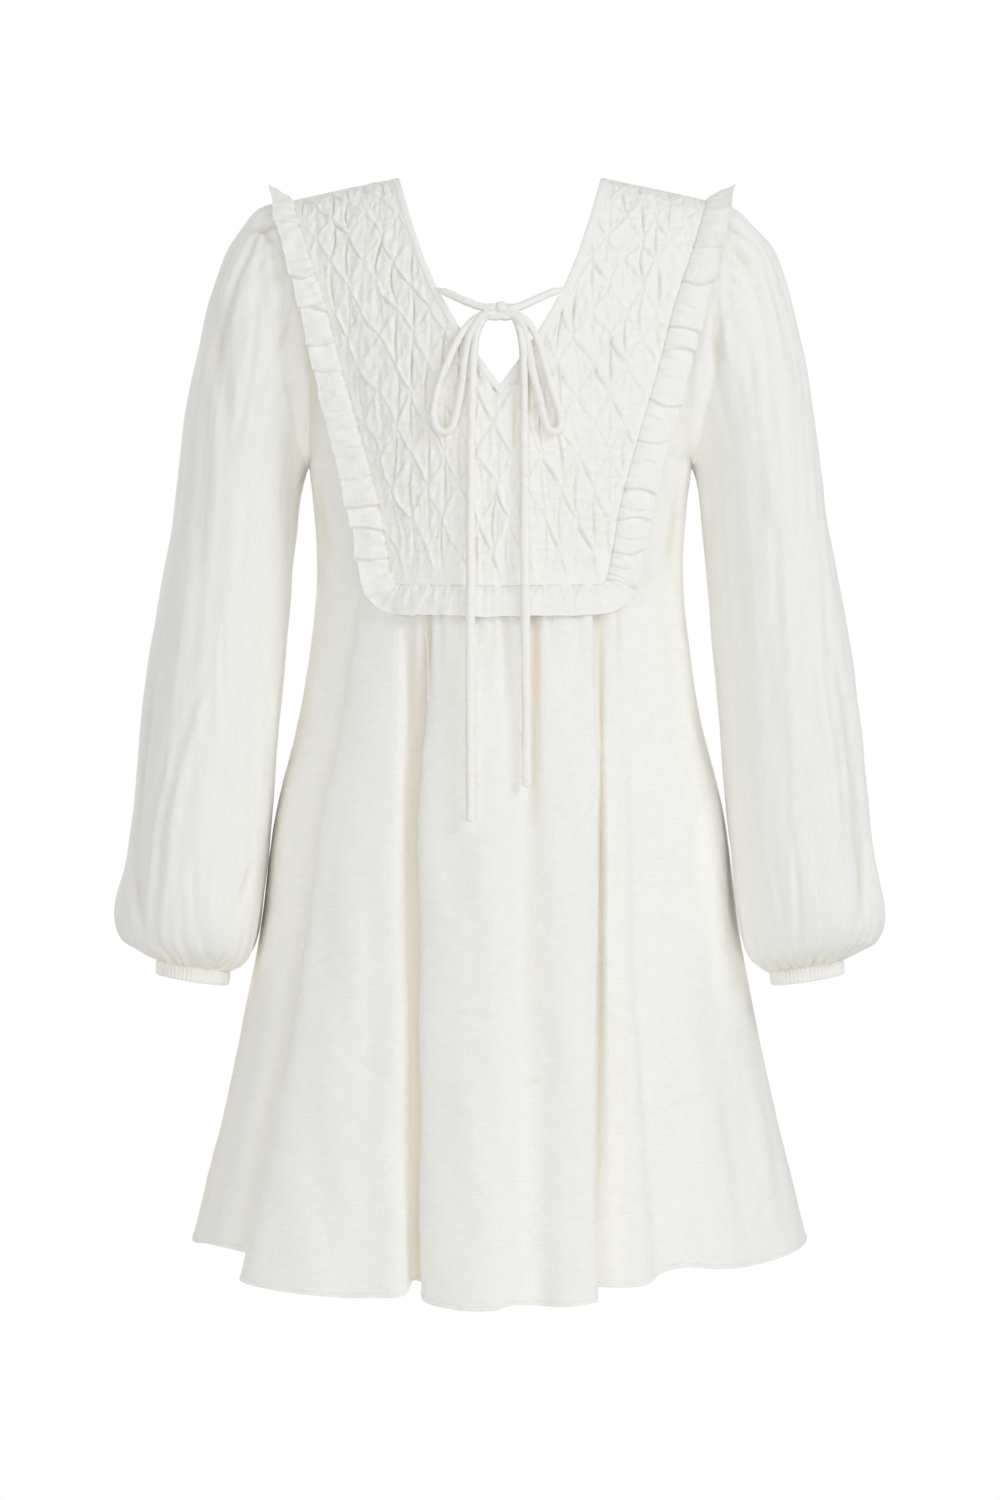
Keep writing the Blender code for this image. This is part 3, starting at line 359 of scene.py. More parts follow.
# Creases of the two sleeves as seen from the front, and of their hidden side.
SLEEVE_CREASES = {
    "left": table(CREASE, [
        (-0.1966, -0.0468, -0.1765, -0.0413, 0.0034, -0.0034, 0.00),
        (-0.1980, -0.0374, -0.1790, -0.0327, 0.0070, +0.0018, 0.10),
        (-0.1884, -0.0420, -0.1770, -0.0580, 0.0034, -0.0030, 0.10),
        (-0.2005, -0.0490, -0.2225, -0.1230, 0.0047, -0.0022, 0.10),
        (-0.1890, -0.0540, -0.2150, -0.1420, 0.0045, -0.0022, 0.08),
        (-0.2135, -0.1360, -0.2180, -0.2185, 0.0063, -0.0014, -0.02),
        (-0.1842, -0.0570, -0.1905, -0.0890, 0.0031, -0.0016, 0.05),
        (-0.1819, -0.0760, -0.1780, -0.1079, 0.0047, +0.0016, 0.00),
        (-0.1640, -0.1080, -0.1770, -0.1500, 0.0029, -0.0015, -0.05),
        (-0.1944, -0.1220, -0.2085, -0.2114, 0.0047, -0.0017, -0.06),
        (-0.2187, -0.1100, -0.2180, -0.1760, 0.0071, -0.0017, 0.05),
        (-0.1646, -0.0930, -0.1521, -0.2263, 0.0094, -0.0012, 0.05),
        (-0.2313, -0.1989, -0.2383, -0.3086, 0.0071, -0.0013, -0.03),
        (-0.1866, -0.2381, -0.1991, -0.3478, 0.0078, -0.0014, 0.03),
        (-0.2140, -0.3682, -0.2140, -0.4200, 0.0030, -0.0015, 0.02),
        (-0.2407, -0.3086, -0.2524, -0.4106, 0.0063, +0.0013, -0.02),
        (-0.2626, -0.3849, -0.2768, -0.5600, 0.0078, -0.0026, 0.05),
        (-0.2227, -0.4202, -0.2493, -0.5601, 0.0063, +0.0021, 0.08),
        (-0.2556, -0.4774, -0.2689, -0.5650, 0.0047, +0.0016, 0.03),
        (-0.2038, -0.4184, -0.2132, -0.5360, 0.0094, -0.0012, 0.04),
        (-0.1913, -0.5482, -0.2062, -0.5940, 0.0047, -0.0024, 0.06),
        (-0.2822, -0.5545, -0.2744, -0.6020, 0.0047, -0.0016, 0.05),
        (-0.2352, -0.5545, -0.2305, -0.6080, 0.0039, -0.0016, 0.05),
        (-0.2180, -0.5400, -0.2242, -0.6030, 0.0047, +0.0015, 0.05)]),
    "right": table(CREASE, [
        (+0.1925, -0.0520, +0.1755, -0.0430, 0.0034, -0.0030, 0.00),
        (+0.1765, -0.0540, +0.2010, -0.0800, 0.0040, -0.0026, 0.05),
        (+0.1930, -0.0400, +0.1780, -0.0350, 0.0060, +0.0016, -0.10),
        (+0.1850, -0.0700, +0.2080, -0.1480, 0.0047, -0.0021, -0.08),
        (+0.2010, -0.0620, +0.2210, -0.1380, 0.0047, -0.0018, -0.06),
        (+0.1740, -0.0880, +0.1800, -0.1500, 0.0040, +0.0016, 0.03),
        (+0.1690, -0.1150, +0.1790, -0.2000, 0.0050, -0.0017, 0.05),
        (+0.2100, -0.1500, +0.2170, -0.2500, 0.0070, -0.0015, 0.02),
        (+0.1940, -0.1600, +0.2030, -0.2700, 0.0060, -0.0014, -0.03),
        (+0.1646, -0.1300, +0.1560, -0.2263, 0.0090, -0.0012, -0.05),
        (+0.2320, -0.2100, +0.2420, -0.3300, 0.0075, -0.0013, 0.02),
        (+0.1850, -0.2600, +0.1950, -0.3800, 0.0080, -0.0015, 0.03),
        (+0.2200, -0.3000, +0.2260, -0.4200, 0.0060, +0.0014, 0.00),
        (+0.2580, -0.3300, +0.2700, -0.4400, 0.0070, -0.0014, 0.03),
        (+0.2080, -0.4000, +0.2180, -0.5300, 0.0080, -0.0014, -0.03),
        (+0.2440, -0.4100, +0.2560, -0.5500, 0.0066, +0.0022, -0.05),
        (+0.2660, -0.4200, +0.2780, -0.5600, 0.0072, -0.0023, -0.04),
        (+0.1930, -0.4700, +0.2080, -0.5800, 0.0070, -0.0016, 0.05),
        (+0.2820, -0.5350, +0.2760, -0.5980, 0.0050, -0.0018, -0.04),
        (+0.2280, -0.5400, +0.2320, -0.6050, 0.0042, -0.0017, 0.00),
        (+0.2110, -0.5600, +0.2200, -0.6050, 0.0042, +0.0014, 0.03)]),
    "hidden": table(CREASE, [
        (0.1900, -0.0450, 0.2080, -0.1200, 0.0050, -0.0024, 0.06),
        (0.1760, -0.0560, 0.1880, -0.1380, 0.0044, -0.0020, -0.05),
        (0.1660, -0.0800, 0.1720, -0.1500, 0.0046, +0.0016, 0.04),
        (0.2120, -0.0900, 0.2260, -0.1900, 0.0060, -0.0017, 0.05),
        (0.1940, -0.1500, 0.2050, -0.2600, 0.0066, -0.0016, -0.03),
        (0.1720, -0.1900, 0.1830, -0.3000, 0.0080, -0.0015, 0.04),
        (0.2280, -0.2300, 0.2420, -0.3600, 0.0074, -0.0016, 0.02),
        (0.2060, -0.3100, 0.2120, -0.4200, 0.0060, -0.0013, -0.04),
        (0.2540, -0.3700, 0.2680, -0.5100, 0.0070, +0.0018, 0.05),
        (0.2320, -0.4300, 0.2440, -0.5650, 0.0076, -0.0022, 0.04),
        (0.1980, -0.4500, 0.2100, -0.5700, 0.0070, -0.0016, 0.03),
        (0.2720, -0.5000, 0.2790, -0.5800, 0.0056, -0.0018, 0.04)])}

# Tucks of the ruffle. Down each side they are placed by height, along the bottom by x. drop is how
# far the cloth steps down there, from and to say which share of the strip's width it crosses.
TUCK = "at drop start end"
TUCKS = {
    "left": table(TUCK, [
        (-0.0189, 0.0007, 0.10, 1.0), (-0.0281, 0.0008, 0.05, 0.7), (-0.0414, 0.0020, 0.00, 1.1),
        (-0.0477, 0.0007, 0.00, 0.6), (-0.0646, 0.0010, 0.10, 1.1), (-0.0835, 0.0024, 0.00, 1.1),
        (-0.0950, 0.0006, 0.00, 0.5), (-0.1120, 0.0024, 0.00, 1.1), (-0.1253, 0.0006, 0.40, 1.1),
        (-0.1393, 0.0022, 0.00, 1.1), (-0.1602, 0.0015, 0.00, 1.1), (-0.1731, 0.0008, 0.00, 0.7),
        (-0.1807, 0.0007, 0.30, 1.1), (-0.1887, 0.0010, 0.00, 0.8), (-0.2061, 0.0011, 0.00, 1.0),
        (-0.2225, 0.0010, 0.10, 1.1), (-0.2431, 0.0015, 0.00, 1.1), (-0.2659, 0.0025, 0.00, 1.1),
        (-0.2854, 0.0022, 0.00, 1.1), (-0.2939, 0.0009, 0.00, 0.5), (-0.3075, 0.0023, 0.00, 1.1),
        (-0.3150, 0.0007, 0.00, 0.6), (-0.3270, 0.0015, 0.00, 1.1)]),
    "bottom": table(TUCK, [
        (-0.0684, 0.0014, 0.00, 0.6), (-0.0568, 0.0022, 0.00, 1.1), (-0.0505, 0.0018, 0.00, 0.5),
        (-0.0330, 0.0016, 0.00, 1.0), (-0.0190, 0.0013, 0.00, 0.5), (-0.0040, 0.0018, 0.00, 1.0),
        (+0.0130, 0.0013, 0.00, 0.6), (+0.0250, 0.0018, 0.00, 1.1), (+0.0440, 0.0015, 0.00, 0.7),
        (+0.0590, 0.0020, 0.00, 1.1), (+0.0700, 0.0014, 0.00, 0.6)]),
    "right": table(TUCK, [
        (-0.3250, 0.0014, 0.00, 1.1), (-0.3130, 0.0012, 0.00, 0.7), (-0.3010, 0.0019, 0.00, 1.1),
        (-0.2899, 0.0013, 0.00, 0.8), (-0.2787, 0.0019, 0.00, 1.1), (-0.2675, 0.0013, 0.00, 0.8),
        (-0.2553, 0.0022, 0.00, 1.1), (-0.2338, 0.0012, 0.00, 0.8), (-0.2143, 0.0016, 0.00, 1.1),
        (-0.1968, 0.0009, 0.10, 0.7), (-0.1839, 0.0020, 0.00, 1.1), (-0.1658, 0.0010, 0.00, 0.6),
        (-0.1457, 0.0020, 0.00, 1.1), (-0.1281, 0.0024, 0.00, 1.1), (-0.1065, 0.0010, 0.00, 0.8),
        (-0.0880, 0.0024, 0.00, 1.1), (-0.0740, 0.0008, 0.30, 1.1), (-0.0614, 0.0020, 0.00, 1.1),
        (-0.0519, 0.0014, 0.00, 0.7), (-0.0352, 0.0012, 0.00, 1.1), (-0.0230, 0.0008, 0.00, 0.6)])}


# ---------- sizes and colours to change
class DressCloth(PropertyGroup):
    """Cloth of the dress and its colours."""
    wall: FloatProperty(
        name="Cloth wall", description="Thickness of the linen",
        default=0.0008, min=0.0003, max=0.0015, unit="LENGTH")
    lift: FloatProperty(
        name="Lift", description="Outer face of the cloth above the plain surface",
        default=0.0012, min=0.0, max=0.003, unit="LENGTH")
    linen: FloatVectorProperty(
        name="Linen", description="Colour of the body and sleeves",
        subtype="COLOR", size=3, min=0, max=1, default=(0.898, 0.900, 0.881))
    trim: FloatVectorProperty(
        name="Trim", description="Colour of the ruffle, binding and ties",
        subtype="COLOR", size=3, min=0, max=1, default=(0.900, 0.902, 0.890))
    # painted shade: the warm darker tone that is mixed into the linen in deep folds
    shade: FloatVectorProperty(
        name="Shade", description="Warm tone that linen takes in deep folds",
        subtype="COLOR", size=3, min=0, max=1, default=(0.72, 0.655, 0.52))
    glow: FloatProperty(
        name="Glow", description="Share of light that passes into the linen",
        default=0.15, min=0.0, max=1.0, subtype="FACTOR")
    unevenness: FloatProperty(
        name="Unevenness", description="Height of the soft waves in plain cloth",
        default=0.0006, min=0.0, max=0.003, unit="LENGTH")
    thread: FloatProperty(
        name="Thread", description="Spacing of the linen's threads",
        default=0.0007, min=0.0003, max=0.003, unit="LENGTH")


class DressSmocking(PropertyGroup):
    """Honeycomb smocking of the bib."""
    spacing: FloatProperty(
        name="Stitch spacing", description="From one stitch to the next in a row",
        default=0.0254, min=0.010, max=0.050, unit="LENGTH")
    middle: FloatProperty(
        name="Middle", description="Where the middle column of stitches lies",
        default=-0.0042, min=-0.02, max=0.02, unit="LENGTH")
    top: FloatProperty(
        name="Top row", description="Height of the first full row of stitches",
        default=-0.0390, min=-0.1, max=0.0, unit="LENGTH")
    row: FloatProperty(
        name="Row height", description="From that row of stitches to the next",
        default=0.0180, min=0.008, max=0.04, unit="LENGTH")
    stretch: FloatProperty(
        name="Stretch", description="How much taller each row is than the one above",
        default=0.00072, min=0.0, max=0.002, unit="LENGTH")
    ridge: FloatProperty(
        name="Ridge height", description="How far the pleats stand up",
        default=0.0012, min=0.0, max=0.005, unit="LENGTH")
    pocket: FloatProperty(
        name="Pocket depth", description="How far the cloth sinks between pleats",
        default=0.0013, min=0.0, max=0.005, unit="LENGTH")


class DressTrims(PropertyGroup):
    """Ruffle, binding, cuffs and ties."""
    ruffle_width: FloatProperty(
        name="Ruffle width", description="From the seam to the free edge",
        default=0.0245, min=0.01, max=0.05, unit="LENGTH")
    binding_width: FloatProperty(
        name="Binding width", description="Width of the neck binding",
        default=0.0050, min=0.003, max=0.010, unit="LENGTH")
    rib: FloatProperty(
        name="Cuff rib", description="Spacing of the gathers of a cuff",
        default=0.0031, min=0.0015, max=0.006, unit="LENGTH")
    tie: FloatProperty(
        name="Tie", description="Thickness of the rouleau ties",
        default=0.0060, min=0.003, max=0.010, unit="LENGTH")
    stitch: FloatProperty(
        name="Stitch", description="Pitch of the hem stitches",
        default=0.0030, min=0.0015, max=0.006, unit="LENGTH")


class DressStudio(PropertyGroup):
    """Camera and light."""
    distance: FloatProperty(
        name="Camera distance", description="From the camera to the middle of the dress",
        default=2.5, min=1.0, max=10.0, unit="LENGTH")
    height: FloatProperty(
        name="Camera height", description="Height of the camera",
        default=-0.4576, min=-1.5, max=1.0, unit="LENGTH")
    lens: FloatProperty(
        name="Lens", description="Focal length in millimetres",
        default=75.0, min=20.0, max=200.0, unit="CAMERA")
    sky: FloatProperty(
        name="Sky", description="Strength of the light from all round",
        default=0.625, min=0.0, max=2.0)
    key: FloatProperty(
        name="Key light", description="Power of the large soft light",
        default=21.0, min=0.0, max=500.0, unit="POWER")
    fill: FloatProperty(
        name="Fill light", description="Power of the two front lights together",
        default=20.0, min=0.0, max=500.0, unit="POWER")
    back: FloatProperty(
        name="Back light", description="Power of the light behind the dress",
        default=24.0, min=0.0, max=200.0, unit="POWER")
    floor: FloatProperty(
        name="Floor", description="Height of the floor, where a wearer would stand",
        default=-1.36, min=-3.0, max=-0.9, unit="LENGTH")
    floor_radius: FloatProperty(
        name="Floor radius", description="Radius of the round pale floor",
        default=1.2, min=0.3, max=5.0, unit="LENGTH")


# ---------- reading the tables
def along_curve(values, row):
    """Values at fractional rows, on a smooth curve through the rows' own values."""
    row = np.asarray(row, dtype=float)
    last = len(values) - 1
    here = np.clip(row.astype(int), 0, last - 1)
    t = row - here
    t = t.reshape(t.shape + (1,) * (values.ndim - 1))
    before, start, end, beyond = (values[np.clip(here + k, 0, last)] for k in (-1, 0, 1, 2))
    return ((2 * t**3 - 3 * t**2 + 1) * start + (t**3 - 2 * t**2 + t) * (end - before) / 2
            + (3 * t**2 - 2 * t**3) * end + (t**3 - t**2) * (beyond - start) / 2)


def read(sections, column, row):
    """One column of a table at fractional rows."""
    return along_curve(sections[column], row)


def unit(vectors):
    """The vectors at a length of 1."""
    return vectors / np.maximum(np.linalg.norm(vectors, axis=-1, keepdims=True), 1e-12)


def ramp(value, low, high):
    """0 below low, 1 above high, and a soft rise between them."""
    t = np.clip((np.asarray(value) - low) / (high - low), 0, 1)
    return t * t * (3 - 2 * t)


def bell(value, width):
    """1 at 0, with a soft fall to both sides."""
    return np.exp(-(value / width) ** 2)


def lengths_along(points, axis=0):
    """Distance of each point from the first, along a line of points or an axis of a grid."""
    along = np.cumsum(np.linalg.norm(np.diff(points, axis=axis), axis=-1), axis)
    return np.pad(along, [(int(k == axis), 0) for k in range(along.ndim)])


def resample(values, along, wanted):
    """Rows of values, known at some distances along a line, at the wanted distances."""
    flat = values.reshape(len(values), -1)
    columns = [np.interp(wanted, along, column) for column in flat.T]
    return np.stack(columns, -1).reshape((len(wanted),) + values.shape[1:])


def unevenness(across, down, size, seed, waves=18):
    """Smooth random waves of about the given size, mostly between -1 and 1."""
    draw = np.random.default_rng(seed)
    total = np.zeros(np.broadcast(across, down).shape)
    for _ in range(waves):
        turn = draw.uniform(0, math.pi)
        pitch = size * draw.uniform(0.7, 1.8)
        phase = draw.uniform(0, math.tau)
        total += np.sin(math.tau * (across * math.cos(turn) + down * math.sin(turn)) / pitch + phase)
    return total / math.sqrt(waves)


def waves_on(grid, size, seed, across=1.0, down=1.0):
    """Unevenness over a grid by its x and z; a share under 1 draws it out that way."""
    return unevenness(across * grid[..., 0], down * grid[..., 2], size, seed)


# ---------- body surface
FRONT_PANEL = (FRONT, -1)
BACK_PANEL = (BACK, +1)
FRONT_SKIRT = (FRONT_PANEL, FRONT_FOLDS, FRONT_GROWTH)
BACK_SKIRT = (BACK_PANEL, BACK_FOLDS, BACK_GROWTH)


def panel_surface(panel, across, row):
    """Points of the plain front or back and the level directions away from it; across runs from -1
    to 1 between its edges."""
    sections, side = panel
    cut = np.radians(read(sections, "cut", row))
    half = read(sections, "half_width", row)
    depth = read(sections, "depth", row)
    share = np.sin(cut * across) / np.sin(cut)
    edge_z = read(sections, "edge_z", row)
    mid_z = read(sections, "mid_z", row)
    points = np.stack(np.broadcast_arrays(
        half * share, side * depth * np.cos(cut * across),
        mid_z + (edge_z - mid_z) * np.abs(share) ** SHOULDER_DROOP), -1)
    away = np.stack(np.broadcast_arrays(
        np.sin(cut * across) * depth, side * np.cos(cut * across) * half, 0.0 * share), -1)
    return points, unit(away)


def panel_points(panel, across, row):
    """Points of the plain front or back."""
    return panel_surface(panel, across, row)[0]


def panel_normal(panel, across, row):
    """Outward unit normals of the plain front or back."""
    step = 0.02
    down = (panel_points(panel, across, row + step)
            - panel_points(panel, across, np.maximum(row - step, 0)))
    right = (panel_points(panel, across + step, row)
             - panel_points(panel, across - step, row))
    return -panel[1] * unit(np.cross(down, right))


def across_at(panel, outline, row):
    """Where an outline crosses each row, as a share from the middle of the panel to its edge."""
    row = np.asarray(row, dtype=float)
    cut = np.radians(read(panel[0], "cut", row))
    half = read(panel[0], "half_width", row)
    across = np.full(row.shape, 0.5)
    for _ in range(40):
        height = panel_points(panel, across, row)[..., 2]
        reach = np.interp(-height, -outline["z"], outline["half"])
        across += 0.5 * (np.arcsin(np.minimum(1, reach / half * np.sin(cut))) / cut - across)
    return np.where(across > 1e-4, across, 0.0)


def row_of_point(panel, outline):
    """Row in which a neckline comes to its point."""
    rows = np.linspace(0, BIB_ROW, 2000)
    heights = panel_points(panel, 0.0, rows)[:, 2]
    return float(np.interp(-outline["z"][-1], -heights, rows))


def neck_opening(panel, outline, rows, point):
    """How far a neckline stands open at each row, as a share like across; 0 below its point."""
    return np.where(rows < point, across_at(panel, outline, rows), 0.0)[:, None]


def even_rows(panel, across, first, last, count):
    """Rows that divide a line down the panel into equal lengths."""
    rows = np.linspace(first, last, 800)
    along = lengths_along(panel_points(panel, across, rows))
    return np.interp(np.linspace(0, along[-1], count), along, rows)


def front_spots(route):
    """Points of a route of x, z and distance in front of the plain front."""
    rows = np.linspace(0, HEM_ROW, 400)
    cut = np.radians(read(FRONT, "cut", rows))
    spots = []
    for x, z, out in route:
        share = np.clip(x / read(FRONT, "half_width", rows), -1, 1)
        line = panel_points(FRONT_PANEL, np.arcsin(share * np.sin(cut)) / cut, rows)
        spots.append((x, np.interp(-z, -line[:, 2], line[:, 1]) - out, z))
    return np.array(spots)


# ---------- grids of points
def grid_normals(grid, closed=False):
    """Unit normals of a grid of points whose rows run down and whose columns run along, on the side
    that down times along points to."""
    down = np.gradient(grid, axis=0)
    if closed:
        along = np.roll(grid, -1, 1) - np.roll(grid, 1, 1)
    else:
        along = np.gradient(grid, axis=1)
    return unit(np.cross(down, along))


def raised(grid, height, closed=False):
    """The grid moved outwards by a height at each point."""
    return grid + grid_normals(grid, closed) * np.broadcast_to(height, grid.shape[:2])[..., None]


def lifted(plain, relief):
    """The outer face of cloth with a relief, over its plain surface."""
    return raised(plain, bpy.context.scene.dress_cloth.lift + relief)


def crease_relief(grid, listed, longer=1.0, width_share=1.0):
    """Height that the listed creases give to each point of a grid."""
    x, z = grid[..., 0], grid[..., 2]
    relief = np.zeros(x.shape)
    for start_x, start_z, end_x, end_z, width, depth, bow in rows_of(listed):
        run_x, run_z = end_x - start_x, end_z - start_z
        length = math.hypot(run_x, run_z)
        share = ((x - start_x) * run_x + (z - start_z) * run_z) / length**2
        inside = np.clip((share - 0.5) / longer + 0.5, 0, 1)
        aside = ((x - start_x) * run_z - (z - start_z) * run_x) / length
        aside = aside - bow * length * 4 * inside * (1 - inside)
        spread = width * width_share * (0.75 + 0.5 * inside)
        taper = np.sin(math.pi * inside) ** 0.7
        # a soft lip of the other sign runs along one side of it
        lip = 0.35 * bell(aside - math.copysign(1.9, bow + 0.001) * spread, spread)
        relief += depth * taper * (bell(aside, spread) - lip)
    return relief


def corner_map(points, closed, anchor=(0, 0), start=(0.0, 0.0)):
    """Map of a grid in metres along and down the cloth, for each face's four corners. The anchor is
    the row and column where it has its start."""
    wide = np.concatenate([points, points[:, :1]], 1) if closed else points
    along, down = lengths_along(wide, 1), lengths_along(wide)
    u = along - along[:, anchor[1]:][:, :1] + start[0]
    v = down - down[anchor[0]] + start[1]
    spots = np.stack([u, v], -1)
    return np.stack([spots[:-1, :-1], spots[1:, :-1], spots[1:, 1:], spots[:-1, 1:]], 2).reshape(-1, 2)


def grid_faces(rows, columns, closed):
    """Corner numbers of a grid's faces, in the order that points them outwards."""
    down, along = np.meshgrid(np.arange(rows - 1), np.arange(columns if closed else columns - 1),
                              indexing="ij")
    here = down * columns + along
    beside = down * columns + (along + 1) % columns
    return np.stack([here, here + columns, beside + columns, beside], -1).reshape(-1, 4)


# ---------- meshes and objects
SHARP_TURN = 60           # degrees by which faces turn at an edge that stays sharp
SAME_SPOT = 1e-5          # points of two grids that are nearer than this are one


def placed(name, data):
    """A new object of the scene with the given data."""
    obj = bpy.data.objects.new(name, data)
    bpy.context.scene.collection.objects.link(obj)
    return obj


def only(obj):
    """Makes an object the only one selected, and the active one."""
    for other in bpy.context.selected_objects:
        other.select_set(False)
    obj.select_set(True)
    bpy.context.view_layer.objects.active = obj


def finish_mesh(obj):
    """Smooth shading, apart from sharp edges."""
    only(obj)
    bpy.ops.object.shade_smooth_by_angle(angle=math.radians(SHARP_TURN), keep_sharp_edges=False)


def cloth_mesh(name, grids, closed):
    """Mesh over grids that share their common edges, with its map and the painted shade of its folds."""
    points, faces, maps, painted_shades, count = [], [], [], [], 0
    for grid in grids:
        rows, columns = grid["points"].shape[:2]
        points.append(grid["points"].reshape(-1, 3))
        faces.append(grid_faces(rows, columns, closed) + count)
        maps.append(corner_map(grid["points"], closed, grid.get("anchor", (0, 0)),
                               grid.get("start", (0.0, 0.0))))
        painted_shades.append(np.broadcast_to(grid.get("painted_shade", 0.0), (rows, columns)).reshape(-1))
        count += rows * columns
    mesh = bpy.data.meshes.new(name)
    mesh.from_pydata(np.concatenate(points).tolist(), [], np.concatenate(faces).tolist())
    cut = mesh.uv_layers.new(name="cut")
    cut.data.foreach_set("uv", np.concatenate(maps).astype(np.float32).ravel())
    # the painted shade of each point, by which the linen mixes in its warm darker tone
    depth = mesh.attributes.new("painted_shade", "FLOAT", "POINT")
    depth.data.foreach_set("value", np.concatenate(painted_shades).astype(np.float32))
    joined = bmesh.new()
    joined.from_mesh(mesh)
    bmesh.ops.remove_doubles(joined, verts=joined.verts, dist=SAME_SPOT)
    joined.to_mesh(mesh)
    joined.free()
    return mesh


def cloth_object(name, grids, closed=False, tube=False, inside=1.0):
    """Object of one cloth piece: a shell over grids, or a tube, which needs no wall.

    Each grid is a dictionary with its points and, where they are needed, the painted shade of each
    point (0 to 1, strongest deep in a fold) and where its map starts (anchor, start). inside is the
    share of the faces that the inner side of the shell keeps.
    """
    obj = placed(name, cloth_mesh(name, grids, closed))
    if not tube:
        cloth = obj.modifiers.new("cloth", "SOLIDIFY")
        cloth.thickness = bpy.context.scene.dress_cloth.wall
        cloth.offset = -1
        obj.vertex_groups.new(name="outer side")
        cloth.shell_vertex_group = obj.vertex_groups.new(name="inner side").name
        only(obj)
        bpy.ops.object.modifier_apply(modifier=cloth.name)
        if inside < 1:
            fewer = obj.modifiers.new("inner side", "DECIMATE")
            fewer.vertex_group = "inner side"
            fewer.ratio = (1 + inside) / 2
            bpy.ops.object.modifier_apply(modifier=fewer.name)
    finish_mesh(obj)
    return obj


def fold_shade_of(relief, depth=0.0022):
    """Painted shade of a relief: how deep each point lies, from 0 on the open cloth to 1 in a deep fold.
    """
    return ramp(-relief, 0.0002, depth)


# ---------- linen
SLUB_LENGTH = 26          # of a thick stretch of thread, in threads
PAINTED_SHADE_SHARE = 0.62        # share of the painted warm shade in the deepest folds


def new_node(tree, kind, place, **settings):
    """A node at a place on the sheet. Its inputs and properties are set by name, and an input that
    is given a socket of another node is linked to it."""
    node = tree.nodes.new(kind)
    node.location = place
    for name, value in settings.items():
        if isinstance(value, bpy.types.NodeSocket):
            tree.links.new(value, node.inputs[name])
        elif name in node.inputs:
            node.inputs[name].default_value = value
        else:
            setattr(node, name, value)
    return node


def new_material(name, **inputs):
    """A material, its node tree and its shader with inputs set by name, with _ for a space."""
    material = bpy.data.materials.new(name)
    material.use_nodes = True
    shader = material.node_tree.nodes["Principled BSDF"]
    for socket, value in inputs.items():
        shader.inputs[socket.replace("_", " ")].default_value = value
    return material, material.node_tree, shader


def thread_noise(tree, spots, stretch, place, **settings):
    """Noise over the cloth's own map, drawn out by a stretch along and down it."""
    mapping = new_node(tree, "ShaderNodeMapping", place, Vector=spots, Scale=(*stretch, 1))
    return new_node(tree, "ShaderNodeTexNoise", (place[0] + 180, place[1]), noise_dimensions="2D",
                    Vector=mapping.outputs["Vector"], Scale=1.0, **settings)


def worked_out(tree, place, operation, socket, number):
    """A math node that works on a socket and a number."""
    node = new_node(tree, "ShaderNodeMath", place, operation=operation)
    node.inputs[1].default_value = number
    tree.links.new(socket, node.inputs[0])
    return node


def weighted(tree, first, second, weight, place):
    """first + second * weight."""
    node = worked_out(tree, place, "MULTIPLY_ADD", second.outputs[0], weight)
    tree.links.new(first.outputs[0], node.inputs[2])
    return node


def colour_mix(tree, place, weight, first, second):
    """A mix of two colours; its colour inputs are 6 and 7, and its colour output is 2."""
    node = new_node(tree, "ShaderNodeMix", place, data_type="RGBA")
    node.inputs[6].default_value = (*first, 1)
    node.inputs[7].default_value = (*second, 1)
    tree.links.new(weight, node.inputs[0])
    return node


